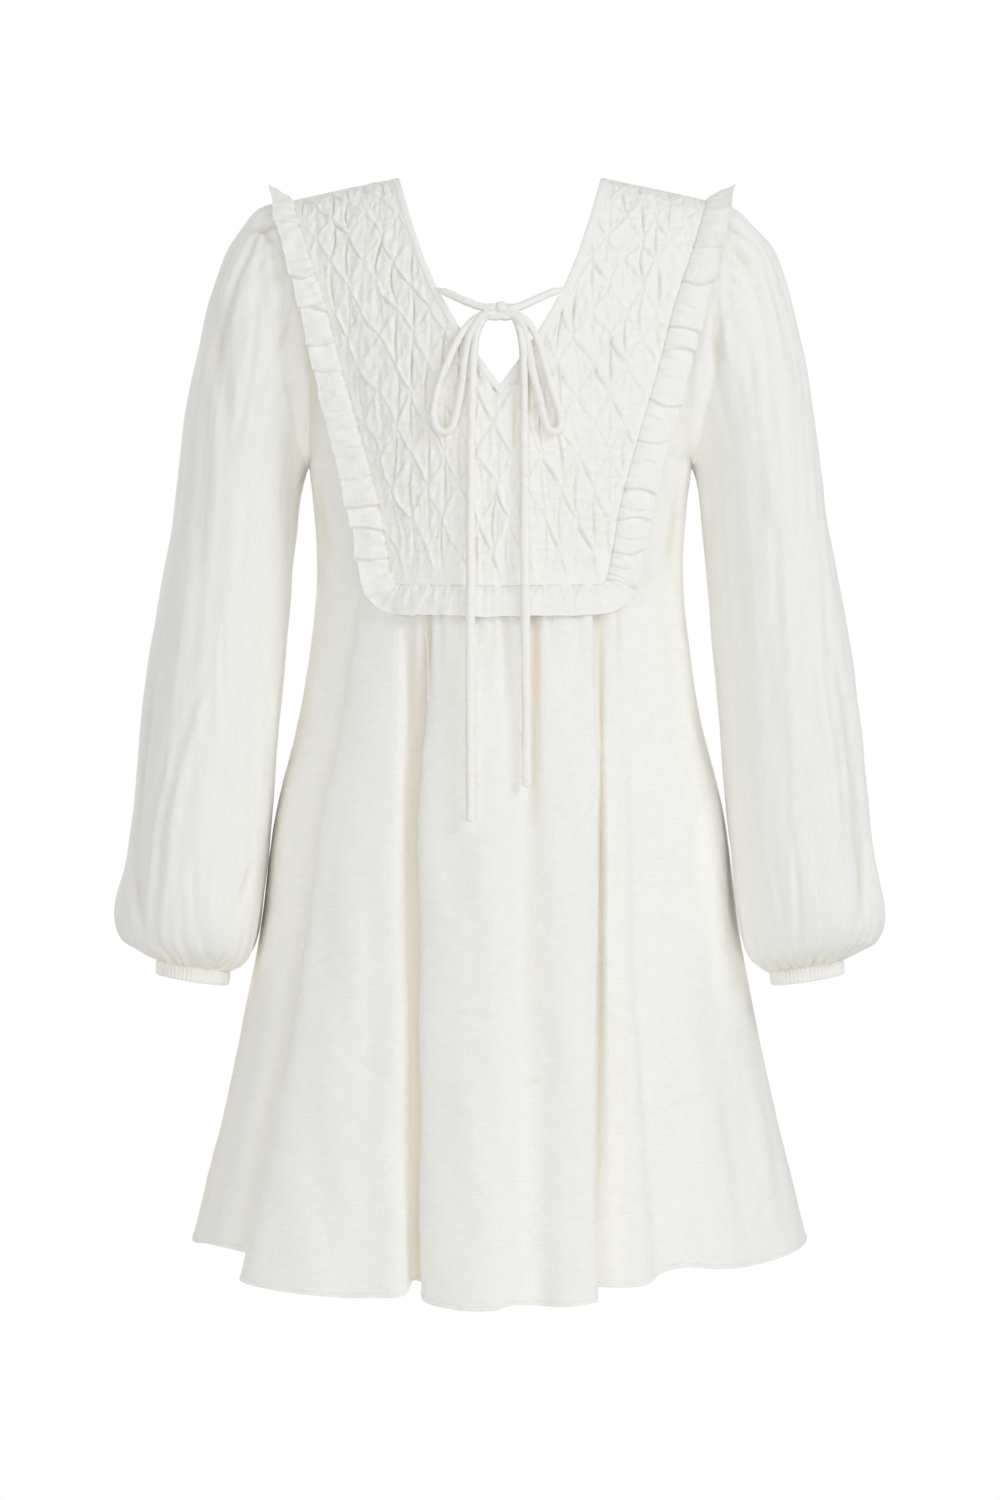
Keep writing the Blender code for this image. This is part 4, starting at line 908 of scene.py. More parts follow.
def linen_material(name, colour, crumple=1.0):
    """Plain linen: slubs along both threads, a fine weave, soft crumples and painted warm shade in deep
    folds.
    """
    settings = bpy.context.scene.dress_cloth
    # thin linen lets some light through, warmer the further it goes
    material, tree, shader = new_material(
        name, Roughness=0.88, Specular_IOR_Level=0.25, Sheen_Weight=0.12, Sheen_Roughness=0.5,
        Subsurface_Weight=settings.glow, Subsurface_Radius=(1.0, 0.92, 0.82), Subsurface_Scale=0.002)
    spots = new_node(tree, "ShaderNodeUVMap", (-1500, 0), uv_map="cut").outputs["UV"]
    pitch = 1 / settings.thread
    slub = {"Detail": 2.0, "Roughness": 0.6}
    slubs_along = thread_noise(tree, spots, (pitch / SLUB_LENGTH, pitch), (-1300, 300), **slub)
    slubs_down = thread_noise(tree, spots, (pitch, pitch / SLUB_LENGTH), (-1300, 0), **slub)
    fine = thread_noise(tree, spots, (pitch * 0.9, pitch * 0.9), (-1300, -300), Detail=1.0)
    crumples = thread_noise(tree, spots, (55, 38), (-1300, -600), Detail=3.0, Roughness=0.55,
                            Distortion=0.4)
    # tint: threads a little lighter and darker, and a painted warm shade where the cloth is folded in
    threads = weighted(tree, slubs_along, slubs_down, 1.0, (-900, 200))
    tone = new_node(tree, "ShaderNodeMapRange", (-700, 200), Value=threads.outputs[0])
    tone.inputs["From Min"].default_value = 0.65
    tone.inputs["From Max"].default_value = 1.35
    dark = [c * 0.955 for c in colour]
    light = [min(c * 1.03, 0.97) for c in colour]
    tint = colour_mix(tree, (-500, 200), tone.outputs["Result"], dark, light)
    painted_shade = new_node(tree, "ShaderNodeAttribute", (-700, -50), attribute_name="painted_shade")
    shade_weight = worked_out(tree, (-500, -50), "MULTIPLY", painted_shade.outputs["Fac"], PAINTED_SHADE_SHARE)
    shaded_colour = colour_mix(tree, (-300, 100), shade_weight.outputs[0], colour, settings.shade)
    tree.links.new(tint.outputs[2], shaded_colour.inputs[6])
    tree.links.new(shaded_colour.outputs[2], shader.inputs["Base Color"])
    # relief: threads, weave and crumples in one height
    height = weighted(tree, threads, fine, 0.6, (-700, -300))
    height = weighted(tree, height, crumples, 3.0 * crumple, (-500, -300))
    bump = new_node(tree, "ShaderNodeBump", (-250, -300), Height=height.outputs[0], Strength=0.35,
                    Distance=0.0006)
    tree.links.new(bump.outputs["Normal"], shader.inputs["Normal"])
    return material


def linen(name):
    """One of the two linens of the dress, made once."""
    settings = bpy.context.scene.dress_cloth
    made = bpy.data.materials.get("dress_" + name)
    if made is None:
        colour, crumple = (settings.linen, 1.0) if name == "linen" else (settings.trim, 0.6)
        made = linen_material("dress_" + name, colour, crumple)
    return made


def hand_over(obj, slot, *nodes):
    """Gives a finished piece its linen and its body, in place of its CAD nodes."""
    obj.data.materials.clear()
    obj.data.materials.append(linen(slot))
    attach(obj, BODY)
    if nodes:
        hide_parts(*nodes)
    return obj


# ---------- front and back
HEM_TURN = 0.0034         # height of the turned and stitched hem
HEM_LINES = 9             # rows that model it


def fold_surface(skirt, line, row):
    """Grid of points of a skirt at the given rows and fractional fold lines."""
    panel, folds, growth = skirt
    row, line = row[:, None], line[None, :]
    fall = np.maximum((row - BIB_ROW) / (HEM_ROW - BIB_ROW), 0)
    top, hem, out, drop = (read(folds, name, line) for name in ("top", "hem", "out", "drop"))
    points, away = panel_surface(panel, top + (hem - top) * fall, row)
    points = points + away * (out * fall**growth)[..., None]
    points[..., 2] -= drop * fall
    return points


def even_lines(skirt, first, last, count):
    """Fractional fold lines that divide a skirt into strips of equal width, half way down."""
    lines = np.linspace(first, last, 900)
    half_way = fold_surface(skirt, lines, np.array([(BIB_ROW + HEM_ROW) / 2]))[0]
    along = lengths_along(half_way)
    return np.interp(np.linspace(0, along[-1], count + 1), along, lines)


def rows_to_hem(panel, first, count):
    """Rows from the first one to the hem, close together in the turned hem."""
    fine = even_rows(panel, 0.5, first, HEM_ROW, 600)
    length = lengths_along(panel_points(panel, 0.5, fine))[-1]
    turn = 1.7 * HEM_TURN / length
    share = np.concatenate([np.linspace(0, 1 - turn, count - HEM_LINES),
                            1 - turn * np.linspace(1, 0, HEM_LINES + 1)[1:]])
    return np.interp(share, np.linspace(0, 1, len(fine)), fine)


def height_over_hem(grid):
    """Distance of each point of a grid from its last row, along the cloth."""
    return lengths_along(grid[::-1])[::-1]


def hem_relief(grid, seed):
    """Turned hem: a double thickness that ends in a line of stitches, puckered a little by them."""
    over = height_over_hem(grid)
    pucker = 1 + 0.5 * unevenness(grid[..., 0] + grid[..., 1], 0.0, 0.009, seed)
    turned = 0.00045 * (1 - ramp(over, HEM_TURN - 0.0004, HEM_TURN + 0.0002))
    stitched = -0.00035 * bell(over - HEM_TURN, 0.0006)
    rounded = -0.0003 * (1 - ramp(over, 0, 0.0007))
    return (turned + stitched) * pucker + rounded


def soft_waves(grid, seed):
    """Unevenness of plain hanging cloth: long waves down it and some short ones."""
    height = bpy.context.scene.dress_cloth.unevenness
    x, z = grid[..., 0] + 0.6 * grid[..., 1], grid[..., 2]
    return height * (unevenness(x, 0.28 * z, 0.034, seed) + 0.35 * unevenness(x, z, 0.019, seed + 1))


def edge_distances(grid):
    """Distances of each point from the first and the last column, along the cloth."""
    along = lengths_along(grid, 1)
    return along, along[:, -1:] - along


def from_outer_and_inner(grid, side):
    """Distances of each point of a panel's half from its outer and its inner edge, where columns
    run towards its outer edge if side is above 0."""
    start, end = edge_distances(grid)
    return (end, start) if side > 0 else (start, end)


def armhole_seam(outer, rows):
    """Dip of the cloth beside an armhole, where it is sewn to the sleeve."""
    above_underarm = ramp(-rows, -ARMHOLE_ROWS - 0.5, 0.5 - ARMHOLE_ROWS)
    return -0.0005 * (1 - ramp(outer, 0.0, 0.0025)) * above_underarm


def front_skirt(lines):
    """Grid of the front below the bib, down to the hem, at the given fold lines."""
    rows = rows_to_hem(FRONT_PANEL, BIB_ROW, SKIRT_ROWS)
    plain = fold_surface(FRONT_SKIRT, lines, rows)
    sides = ramp(np.minimum(*edge_distances(plain)), 0.0, 0.018)
    # the gathers are deepest where they come out from under the ruffle
    below_bib = (ramp(lines, LEFT_CORNER, LEFT_CORNER + 1)
                 * ramp(-lines, -RIGHT_CORNER, 1 - RIGHT_CORNER))
    deeper = 1 + 0.7 * ramp(plain[..., 2], -0.430, -0.350) * below_bib
    creased = crease_relief(plain, FRONT_CREASES) * sides * deeper
    relief = creased + soft_waves(plain, 11) * sides + hem_relief(plain, 13)
    # painted shade: where the front is folded in, and in its deeper creases, the colour is darkened and
    # warmed
    shaded = sum(weight * np.exp(-((lines - line) / width) ** 4)
                 for line, width, weight in rows_of(FRONT_SHADE))
    shaded = shaded[None, :] * ramp(rows, BIB_ROW + 0.3, BIB_ROW + 2.0)[:, None]
    return {"points": lifted(plain, relief),
            "painted_shade": np.maximum(shaded, ramp(-creased, 0.0012, 0.0050))}


def front_strap(side, lines, skirt):
    """Grid of the front beside the bib, from the shoulder seam down to the skirt's first row."""
    mine = np.flatnonzero(lines <= LEFT_CORNER if side < 0 else lines >= RIGHT_CORNER)
    tops = np.abs(read(FRONT_FOLDS, "top", lines[mine]))
    corner = across_at(FRONT_PANEL, BIB_SEAM, float(BIB_ROW))
    share = np.maximum((tops - corner) / (1 - corner), 0)
    rows = even_rows(FRONT_PANEL, 0.9, SHOULDER_ROW, BIB_ROW, STRAP_ROWS)
    seam = across_at(FRONT_PANEL, BIB_SEAM, rows) + SOLID_SEAM / 2 / read(FRONT, "half_width", rows)
    rows, seam = rows[:, None], seam[:, None]
    plain = panel_points(FRONT_PANEL, side * (seam + share[None, :] * (1 - seam)), rows)
    outer = from_outer_and_inner(plain, side)[0]
    creased = crease_relief(plain, FRONT_CREASES) * ramp(outer, 0.0, 0.012)
    relief = creased + soft_waves(plain, 11) * ramp(outer, 0.0, 0.018) + armhole_seam(outer, rows)
    strap = lifted(plain, relief)
    strap[-1] = skirt[0, mine]
    column = 0 if side < 0 else len(mine) - 1
    across_skirt = lengths_along(skirt[0])[mine[column]]
    # painted shade on the strap beside its sleeve, and in its creases
    painted_shade_beside_sleeve = STRAP_SHADE[side] * (1 - ramp(outer, 0.003, 0.030))
    return {"points": strap, "painted_shade": np.maximum(fold_shade_of(creased), painted_shade_beside_sleeve),
            "anchor": (len(rows) - 1, column), "start": (across_skirt, 0.0)}


def front_grids():
    """Skirt and the two straps of the front, with their relief."""
    ends = (0, LEFT_CORNER, RIGHT_CORNER, len(FRONT_FOLDS["top"]) - 1)
    parts = [even_lines(FRONT_SKIRT, first, last, count)
             for first, last, count in zip(ends, ends[1:], SKIRT_COLUMNS)]
    lines = np.concatenate([parts[0], parts[1][1:], parts[2][1:]])
    skirt = front_skirt(lines)
    return [skirt] + [front_strap(side, lines, skirt["points"]) for side in (-1, 1)]


def back_rows():
    """Rows of the back, with one in the point of its neckline."""
    point = row_of_point(BACK_PANEL, BACK_NECK)
    above = int(BACK_ROWS * 0.4)
    rows = np.concatenate([even_rows(BACK_PANEL, 0.5, SHOULDER_ROW, BIB_ROW, above)[:-1],
                           rows_to_hem(BACK_PANEL, BIB_ROW, BACK_ROWS - above)])
    rows[np.abs(rows - point).argmin()] = point
    return rows, point


def back_half(side, rows, point):
    """Grid of one half of the back; side is the side that it lies on."""
    neck = neck_opening(BACK_PANEL, BACK_NECK, rows, point)
    middle = (len(BACK_FOLDS["top"]) - 1) // 2
    first, last = (2 * middle, middle) if side > 0 else (middle, 0)
    lines = even_lines(BACK_SKIRT, first, last, BACK_HALF_COLUMNS)
    tops = np.abs(read(BACK_FOLDS, "top", lines))[None, :]
    upper = panel_points(BACK_PANEL, side * (neck + tops * (1 - neck)), rows[:, None])
    skirt = fold_surface(BACK_SKIRT, lines, rows)
    plain = np.where((rows < BIB_ROW)[:, None, None], upper, skirt)
    outer, inner = from_outer_and_inner(plain, -side)
    open_neck = (rows < point)[:, None]
    fade = ramp(outer, 0.0, 0.016) * np.where(open_neck, ramp(inner, 0.0, 0.008), 1.0)
    from_shoulder = lengths_along(plain[:, len(lines) // 2])[:, None]
    fade = fade * ramp(from_shoulder, 0.0, 0.02)
    creased = 1.8 * crease_relief(plain, BACK_CREASES) * fade
    # light gathers hang from the shoulders down to the middle of the back
    gathers = 0.0006 * waves_on(plain, 0.011, 31, down=0.05)
    gathers = gathers * ramp(plain[..., 2], -0.42, -0.26) * fade
    relief = (creased + gathers + soft_waves(plain, 21) * fade + armhole_seam(outer, rows[:, None])
              + hem_relief(plain, 23))
    # painted shade in the creases
    return {"points": lifted(plain, relief), "painted_shade": fold_shade_of(creased, 0.006)}


def back_grids():
    """The two halves of the back, which join below the point of the neckline."""
    rows, point = back_rows()
    grids = [back_half(side, rows, point) for side in (1, -1)]
    join_halves(grids, rows >= point)
    return grids


def join_halves(grids, closed_rows):
    """Makes the last column of the first grid and the first of the second one line, in some rows."""
    first, second = grids[0]["points"], grids[1]["points"]
    line = (first[closed_rows, -1] + second[closed_rows, 0]) / 2
    line[:, 0] = 0
    first[closed_rows, -1] = line
    second[closed_rows, 0] = line
    across = lengths_along(first[-1])[-1]
    down = lengths_along(first[:, -1])[-1]
    last = len(first) - 1
    grids[0].update(anchor=(last, first.shape[1] - 1), start=(across, down))
    grids[1].update(anchor=(last, 0), start=(across, down))


# ---------- smocked bib
STRAY_ACROSS = 0.070      # how far stitches stray from their even places, in columns
STRAY_DOWN = 0.075        # and in rows
LAST_STITCHES = (12.1, 12.7)  # rows between which the honeycomb turns into plain gathers
CELLS = 64                # columns and rows of stretches that have their own random shape


def stitch_columns_and_rows(plain):
    """Where each point of the bib lies in the honeycomb: its column of stitches and its row."""
    smocking = bpy.context.scene.dress_smocking
    height = plain[..., 2]
    first = smocking.row
    grown = smocking.stretch / 2
    below = smocking.top - np.minimum(height, smocking.top - 0.001)
    down = (-first + np.sqrt(first**2 + 4 * grown * below)) / (2 * grown)
    # over the shoulder, rows follow each other along the cloth
    steep = smocking.top - 0.006
    for column in range(plain.shape[1]):
        along = lengths_along(plain[:, column])
        turn = np.argmax(height[:, column] < steep)
        level = down[turn, column]
        down[:turn, column] = level - (along[turn] - along[:turn]) / first
    across = (plain[..., 0] - smocking.middle) / smocking.spacing
    across = across + STRAY_ACROSS * waves_on(plain, 0.050, 41)
    down = down + STRAY_DOWN * waves_on(plain, 0.060, 43)
    return across, down


def pleat_edges(line, down, seed, height, crease, bow):
    """Folded edges of one lean of the honeycomb; they lie where line is a whole number.

    An edge rises slowly on its right, drops sharply on its left and has a thin crease there. Every
    stretch between two stitches has its own bow, height and crease, and is pinched at its ends.
    Gives the relief and the painted shade of the crease.
    """
    draw = np.random.default_rng(seed)
    bows, sizes, cuts = (
        draw.uniform(low, high, (CELLS, CELLS)) for low, high in
        ((bow - 0.07, bow + 0.07), (0.15, 1.35), (0.1, 1.4)))
    nearest = np.round(line).astype(int)
    cell = np.floor(down).astype(int)
    i, j = nearest % CELLS, cell % CELLS
    arch = np.sin(math.pi * (down - cell))
    spacing = bpy.context.scene.dress_smocking.spacing
    aside = (line - nearest + bows[i, j] * arch) * spacing * 0.83
    size = 0.35 + (sizes[i, j] - 0.35) * arch**0.7
    edge = ramp(aside, -0.0009, 0.0004) * (1 - ramp(aside, 0.0005, 0.0030))
    cut = cuts[i, j] * arch**0.6 * bell(aside + 0.0012, 0.00065)
    return height * size * edge - crease * cut, np.minimum(cut, 1)


def pockets(lean_left, lean_right):
    """Hollows between the pleats: two flat sides that slope to a narrow valley, one cell at a time.
    Gives the relief and the painted shade of the valley."""
    smocking = bpy.context.scene.dress_smocking
    draw = np.random.default_rng(47)
    depths, places, slants, cuts, sides, tops = (
        draw.uniform(low, high, (CELLS, CELLS)) for low, high in
        ((0.5, 1.2), (-0.13, 0.07), (-0.2, 0.3), (0.1, 1.4), (-1, 1), (-0.2, 0.25)))
    i, j = (np.floor(lean).astype(int) % CELLS for lean in (lean_left, lean_right))
    p, q = lean_left % 1, lean_right % 1
    down = (q - p + 1) / 2
    middle = (p + q - 1) / 2
    half = np.maximum(0.5 * (1 - np.abs(2 * down - 1)), 0.02)
    long = np.sin(math.pi * np.clip((down - tops[i, j] * 0.5) / (1 - np.abs(tops[i, j]) * 0.5), 0, 1))
    line = places[i, j] * np.sin(math.pi * down) + slants[i, j] * 0.3 * (down - 0.5)
    sides_slope = 1 - np.minimum(np.abs(middle - line) / half, 1)
    slope = sides_slope * np.sin(math.pi * down) ** 0.6
    aside = (middle - line) * smocking.spacing
    deep = np.clip(cuts[i, j], 0, 1)
    cut = deep * long**0.8 * bell(aside, 0.0008)
    lip = deep * long * bell(aside - 0.0017, 0.0009)
    # many hollows have a second, shorter fold to one side
    beside = aside - np.sign(sides[i, j]) * (0.0042 + 0.002 * (down - 0.5))
    second = (np.abs(sides[i, j]) > 0.3) * bell(beside, 0.0008) * (
        bell(down - 0.5 - 0.3 * sides[i, j], 0.16))
    relief = -smocking.pocket * depths[i, j] * slope - 0.0021 * cut + 0.0006 * lip - 0.0010 * second
    return relief, np.minimum(cut + 0.5 * second, 1)


def smocked_relief(plain, from_edges):
    """Relief of the honeycomb and its painted shade, with plain gathers below its last row."""
    smocking = bpy.context.scene.dress_smocking
    across, down = stitch_columns_and_rows(plain)
    lean_left, lean_right = across - down / 2, across + down / 2
    ridge = smocking.ridge
    steep, steep_dark = pleat_edges(lean_left, down, 51, ridge, 0.0012, 0.055)
    faint, faint_dark = pleat_edges(lean_right, down, 53, 0.65 * ridge, 0.0006, -0.03)
    sunk, sunk_dark = pockets(lean_left, lean_right)
    # the cloth dips where stitches hold it
    whole = np.round(down)
    beside = np.round(across - whole / 2) + whole / 2
    from_stitch = np.hypot((across - beside) * smocking.spacing, (down - whole) * smocking.row)
    dimple = -0.0009 * bell(from_stitch, 0.0016)
    rows = waves_on(plain, 0.030, 55)
    threads = -0.0006 * ramp(rows, -0.6, 1.2) * bell((down - whole) * smocking.row, 0.0011)
    ripples = 0.00046 * waves_on(plain, 0.0042, 57, down=0.22)
    ripples = ripples + 0.00044 * waves_on(plain, 0.0065, 58, across=0.4)
    honeycomb = steep + faint + sunk + dimple + threads + ripples
    # painted shade in the creases beside the pleats and in the valleys between them
    dark = 0.70 * np.maximum(np.maximum(0.75 * steep_dark, 0.35 * faint_dark), sunk_dark)
    last_row = ramp(down, *LAST_STITCHES)
    gathers = 0.00050 * waves_on(plain, 0.0060, 59, down=0.06) - 0.0003
    relief = honeycomb * (1 - last_row) + gathers * last_row
    shoulder = ramp(lengths_along(plain[:, plain.shape[1] // 2]), 0.001, 0.012)[:, None]
    fade = ramp(from_edges, 0.0004, 0.0060) * shoulder
    return relief * fade, dark * (1 - last_row) * fade


def bib_grids():
    """The two halves of the bib, which join below the point of the neckline."""
    point = row_of_point(FRONT_PANEL, FRONT_NECK)
    rows = even_rows(FRONT_PANEL, 0.5, SHOULDER_ROW, BIB_ROW, BIB_ROWS)
    rows[np.abs(rows - point).argmin()] = point
    neck = neck_opening(FRONT_PANEL, FRONT_NECK, rows, point)
    seam = across_at(FRONT_PANEL, BIB_SEAM, rows)[:, None]
    share = np.linspace(0, 1, BIB_COLUMNS + 1)[None, :]
    open_neck = (rows < point)[:, None]
    grids = []
    for side in (-1, 1):
        part = share[:, ::-1] if side < 0 else share
        plain = panel_points(FRONT_PANEL, side * (neck + part * (seam - neck)), rows[:, None])
        outer, inner = from_outer_and_inner(plain, side)
        from_edges = np.minimum(outer, np.where(open_neck, np.maximum(inner - 0.0042, 0), 1.0))
        from_edges = np.minimum(from_edges, height_over_hem(plain))
        relief, dark = smocked_relief(plain, from_edges)
        grids.append({"points": lifted(plain, relief), "painted_shade": dark})
    join_halves(grids, rows >= point)
    return grids


# ---------- ruffle
def ruffle_side():
    """Seam, body normal and outward direction of the ruffle down the left side and round its corner,
    and how far across the body the seam's bottom reaches."""
    rows = np.linspace(0, BIB_ROW - 0.25, RUFFLE_SIDE_STEPS)
    across = across_at(FRONT_PANEL, BIB_SEAM, rows)
    row_height = FRONT["edge_z"][BIB_ROW - 1] - FRONT["edge_z"][BIB_ROW]
    turns = np.linspace(0.05, 0.95, RUFFLE_CORNER_STEPS)
    bend = turns * math.pi / 2
    corner = across_at(FRONT_PANEL, BIB_SEAM, float(BIB_ROW))
    share = RUFFLE_CORNER / FRONT["half_width"][BIB_ROW]
    rows = np.concatenate([rows, BIB_ROW - RUFFLE_CORNER / row_height * (1 - np.sin(bend))])
    across = np.concatenate([across, corner - share * (1 - np.cos(bend)) * 0.8])
    turn = np.concatenate([np.zeros(RUFFLE_SIDE_STEPS), turns])
    return ruffle_directions(-across, rows, turn), corner - share


def ruffle_directions(across, rows, turn):
    """Points of the seam, the body's normals there and the way in which the ruffle points; turn
    goes from 0 on a side to 1 along the bottom."""
    points = panel_points(FRONT_PANEL, across, rows)
    normals = panel_normal(FRONT_PANEL, across, rows)
    run = np.gradient(points, axis=0)
    # round the corner it keeps the direction that the side has just before it
    run[RUFFLE_SIDE_STEPS:] = run[min(RUFFLE_SIDE_STEPS - 20, len(run) - 1)]
    sideways = unit(np.cross(run, normals))
    below = unit(panel_points(FRONT_PANEL, across, rows + 0.02) - points)
    sideways = np.where((turn == 1)[:, None], unit(np.cross(below, normals)), sideways)
    bend = (turn * math.pi / 2)[:, None]
    lift = np.radians(RUFFLE_LIFT_SIDE + (RUFFLE_LIFT_HEM - RUFFLE_LIFT_SIDE) * turn)[:, None]
    flat = sideways * np.cos(bend) + below * np.sin(bend)
    return points, normals, unit(flat) * np.cos(lift) + normals * np.sin(lift)


def smoothed(values, weights):
    """Values along a line, each the weighted mean of those around it."""
    margin = len(weights) // 2
    return np.convolve(np.pad(values, margin, mode="edge"), weights, "valid")


def ruffle_path():
    """Seam, normals and directions of the ruffle, down the left side, along the bottom and up the
    right side, at stations that are evenly spaced along the middle of the strip."""
    left, reach = ruffle_side()
    across = np.linspace(-reach, reach, RUFFLE_BOTTOM_STEPS)
    bottom = ruffle_directions(across, np.full(len(across), float(BIB_ROW)), np.ones(len(across)))
    mirror = np.array([-1, 1, 1])
    seam, normal, flat = (np.concatenate([a, b, (a * mirror)[::-1]]) for a, b in zip(left, bottom))
    width = bpy.context.scene.dress_trims.ruffle_width
    along = lengths_along(seam + flat * width * 0.6)
    wanted = np.linspace(0, along[-1], RUFFLE_STATIONS)
    seam, normal, flat = (resample(part, along, wanted) for part in (seam, normal, flat))
    weights = np.hanning(13) / np.hanning(13).sum()
    normal, flat = (unit(np.stack([smoothed(axis, weights) for axis in part.T], -1))
                    for part in (normal, flat))
    return seam, normal, flat, wanted


def tuck_places(seam, along):
    """Distance along the ruffle of each tuck, which way it overlaps, its drop, start and end."""
    lowest = seam[:, 2].min() + 0.004
    middle = np.flatnonzero(seam[:, 2] < lowest)
    left, right = slice(0, middle[0] + 1), slice(middle[-1], len(seam))
    bottom = slice(middle[0], middle[-1] + 1)
    spots = []
    for name, part, axis, sign, lean in (("left", left, 2, -1, 1), ("right", right, 2, 1, -1),
                                         ("bottom", bottom, 0, 1, 1)):
        listed = TUCKS[name]
        places = np.interp(sign * listed["at"], sign * seam[part, axis], along[part])
        spots += [(place, lean, *facts) for place, *facts in
                  zip(places, listed["drop"], listed["start"], listed["end"])]
    return spots


def ruffle_tucks(seam, along, share, width):
    """Relief, painted shadow and extra reach that the tucks give the ruffle; they lap like shingles."""
    distance = along[:, None]
    relief = np.zeros((len(along), RUFFLE_LINES))
    reach = np.zeros(len(along))
    shadow = np.zeros_like(relief)
    draw = np.random.default_rng(67)
    for place, lean, drop, start, end in tuck_places(seam, along):
        slant, curve = 0.22 + 0.18 * draw.uniform(-1, 1), 0.16 * draw.uniform(-1, 1)
        line = width * (slant * (share - 0.5) + curve * np.sin(math.pi * share))
        before = lean * (place - distance) - line
        over = 0.5 * (1 + np.tanh(before / 0.00040))
        crossed = ramp(share, start - 0.08, start + 0.06) * (1 - ramp(share, end - 0.1, end + 0.06))
        lap = over * np.exp(-np.maximum(before, 0) / 0.012)
        sunk = (1 - over) * np.exp(np.minimum(before, 0) / 0.0040)
        relief += drop * crossed * (lap - 0.55 * sunk)
        # painted shadow just below where each tuck steps down
        shadow += crossed * drop * (1 - over) * np.exp(np.minimum(before, 0) / 0.0010)
        edge = lean * (place - along) - width * slant * 0.5
        step = 0.5 * (1 + np.tanh(edge / 0.0006)) * np.exp(-np.maximum(edge, 0) / 0.016)
        reach += 0.60 * drop * min(end, 1) * (end > 0.9) * step
    return relief, shadow, reach


def ruffle_grid():
    """The ruffle, with its tucks and small gathers along the seam."""
    width = bpy.context.scene.dress_trims.ruffle_width
    seam, normal, flat, along = ruffle_path()
    share = np.linspace(1, 0, RUFFLE_LINES)[None, :]
    distance = along[:, None]
    relief, shadow, reach = ruffle_tucks(seam, along, share, width)
    gathers = 0.0011 * unevenness(distance, 0.0, 0.0052, 61) * np.exp(-share / 0.26)
    gathers = gathers + 0.00050 * unevenness(distance, 0.6 * share * width, 0.0095, 63)
    gathers = np.maximum(gathers, -0.0008)
    relief = (relief + gathers) * ramp(share, 0.0, 0.08)
    relief += 0.0005 * unevenness(distance, share * width, 0.030, 65) * share
    # painted shade in the gathers at the seam, and a painted dark line along the seam itself
    shadow += 0.0016 * ramp(-gathers, 0.0003, 0.0012) * np.exp(-share / 0.15)
    seam_shade = 0.7 + 0.3 * unevenness(distance, 0.0, 0.0042, 68)
    shadow += 0.0024 * seam_shade * bell(share, 0.055)
    reach += 0.0004 * unevenness(along, 0.0, 0.024, 66)
    # it is drawn in towards the shoulders, more on the left
    drawn_left, drawn_right = (most * ramp(seam[:, 2], lowest, -0.02)
                               for most, lowest in ((0.27, -0.26), (0.14, -0.12)))
    reach -= width * np.where(seam[:, 0] < 0, drawn_left, drawn_right)
    root = 0.0006 + 0.0016 * ramp(share, 0.0, 0.16)
    body = seam[:, None] + normal[:, None] * (root + 0.0009 * np.sin(math.pi * share))[..., None]
    body = body + flat[:, None] * (share * (width + reach[:, None] - 0.0006))[..., None]
    # the ends stand up over the shoulders
    from_end = np.minimum(distance, along[-1] - distance)
    stand = share**1.3 * bell(from_end, 0.011)
    body[..., 2] += 0.0085 * stand
    body[..., 0] += 0.0020 * stand * np.sign(body[..., 0])
    edge_fold = 0.0003 * ramp(share, 0.93, 0.99)
    return {"points": raised(body, relief + edge_fold), "painted_shade": ramp(shadow, 0.0004, 0.0022)}


# ---------- neck binding
def neckline(panel, outline, side, rows):
    """Points of a neckline, the normals there and the way into the cloth."""
    across = side * across_at(panel, outline, rows)
    points, normals = panel_points(panel, across, rows), panel_normal(panel, across, rows)
    into = unit(np.cross(np.gradient(points, axis=0), normals))
    return points, normals, into * np.sign(into[:, :1] * side)


def binding_grid():
    """Narrow bias strip folded around the edge of the whole neckline."""
    width = bpy.context.scene.dress_trims.binding_width
    stretches = []
    for panel, outline, down, up in ((FRONT_PANEL, FRONT_NECK, -1, 1), (BACK_PANEL, BACK_NECK, 1, -1)):
        row = np.array([row_of_point(panel, outline)])
        rows = even_rows(panel, 0.4, 0.05, row[0] - 0.03, BINDING_STATIONS)
        tip = panel_points(panel, 0.0, row)
        mitre = unit(panel_points(panel, 0.0, row + 0.2) - tip) * BINDING_MITRE
        stretches += [neckline(panel, outline, down, rows),
                      (tip, panel_normal(panel, 0.0, row), mitre),
                      [part[::-1] for part in neckline(panel, outline, up, rows)]]
    points, normals, intos = (np.concatenate(parts) for parts in zip(*stretches))
    # across the strip: how far into the cloth and how far above it each of its lines lies
    profile = table("into above", [
        (1.04, 0.0008), (1.00, 0.0012), (0.95, 0.00155), (0.85, 0.0016), (0.60, 0.0017), (0.30, 0.0017),
        (0.10, 0.0014), (0.00, 0.0008), (0.01, 0.0000), (0.10, -0.0004), (0.30, -0.0006),
        (0.60, -0.0005), (0.88, -0.0002)])
    along = lengths_along(points)[:, None]
    puckers = 1 + 0.10 * unevenness(along, profile["into"][None, :] * width, 0.012, 71)
    grid = (points[:, None] + intos[:, None] * (profile["into"] * width)[None, :, None]
            + normals[:, None] * (profile["above"][None, :] * puckers)[..., None])
    return {"points": np.concatenate([grid, grid[:1]])}


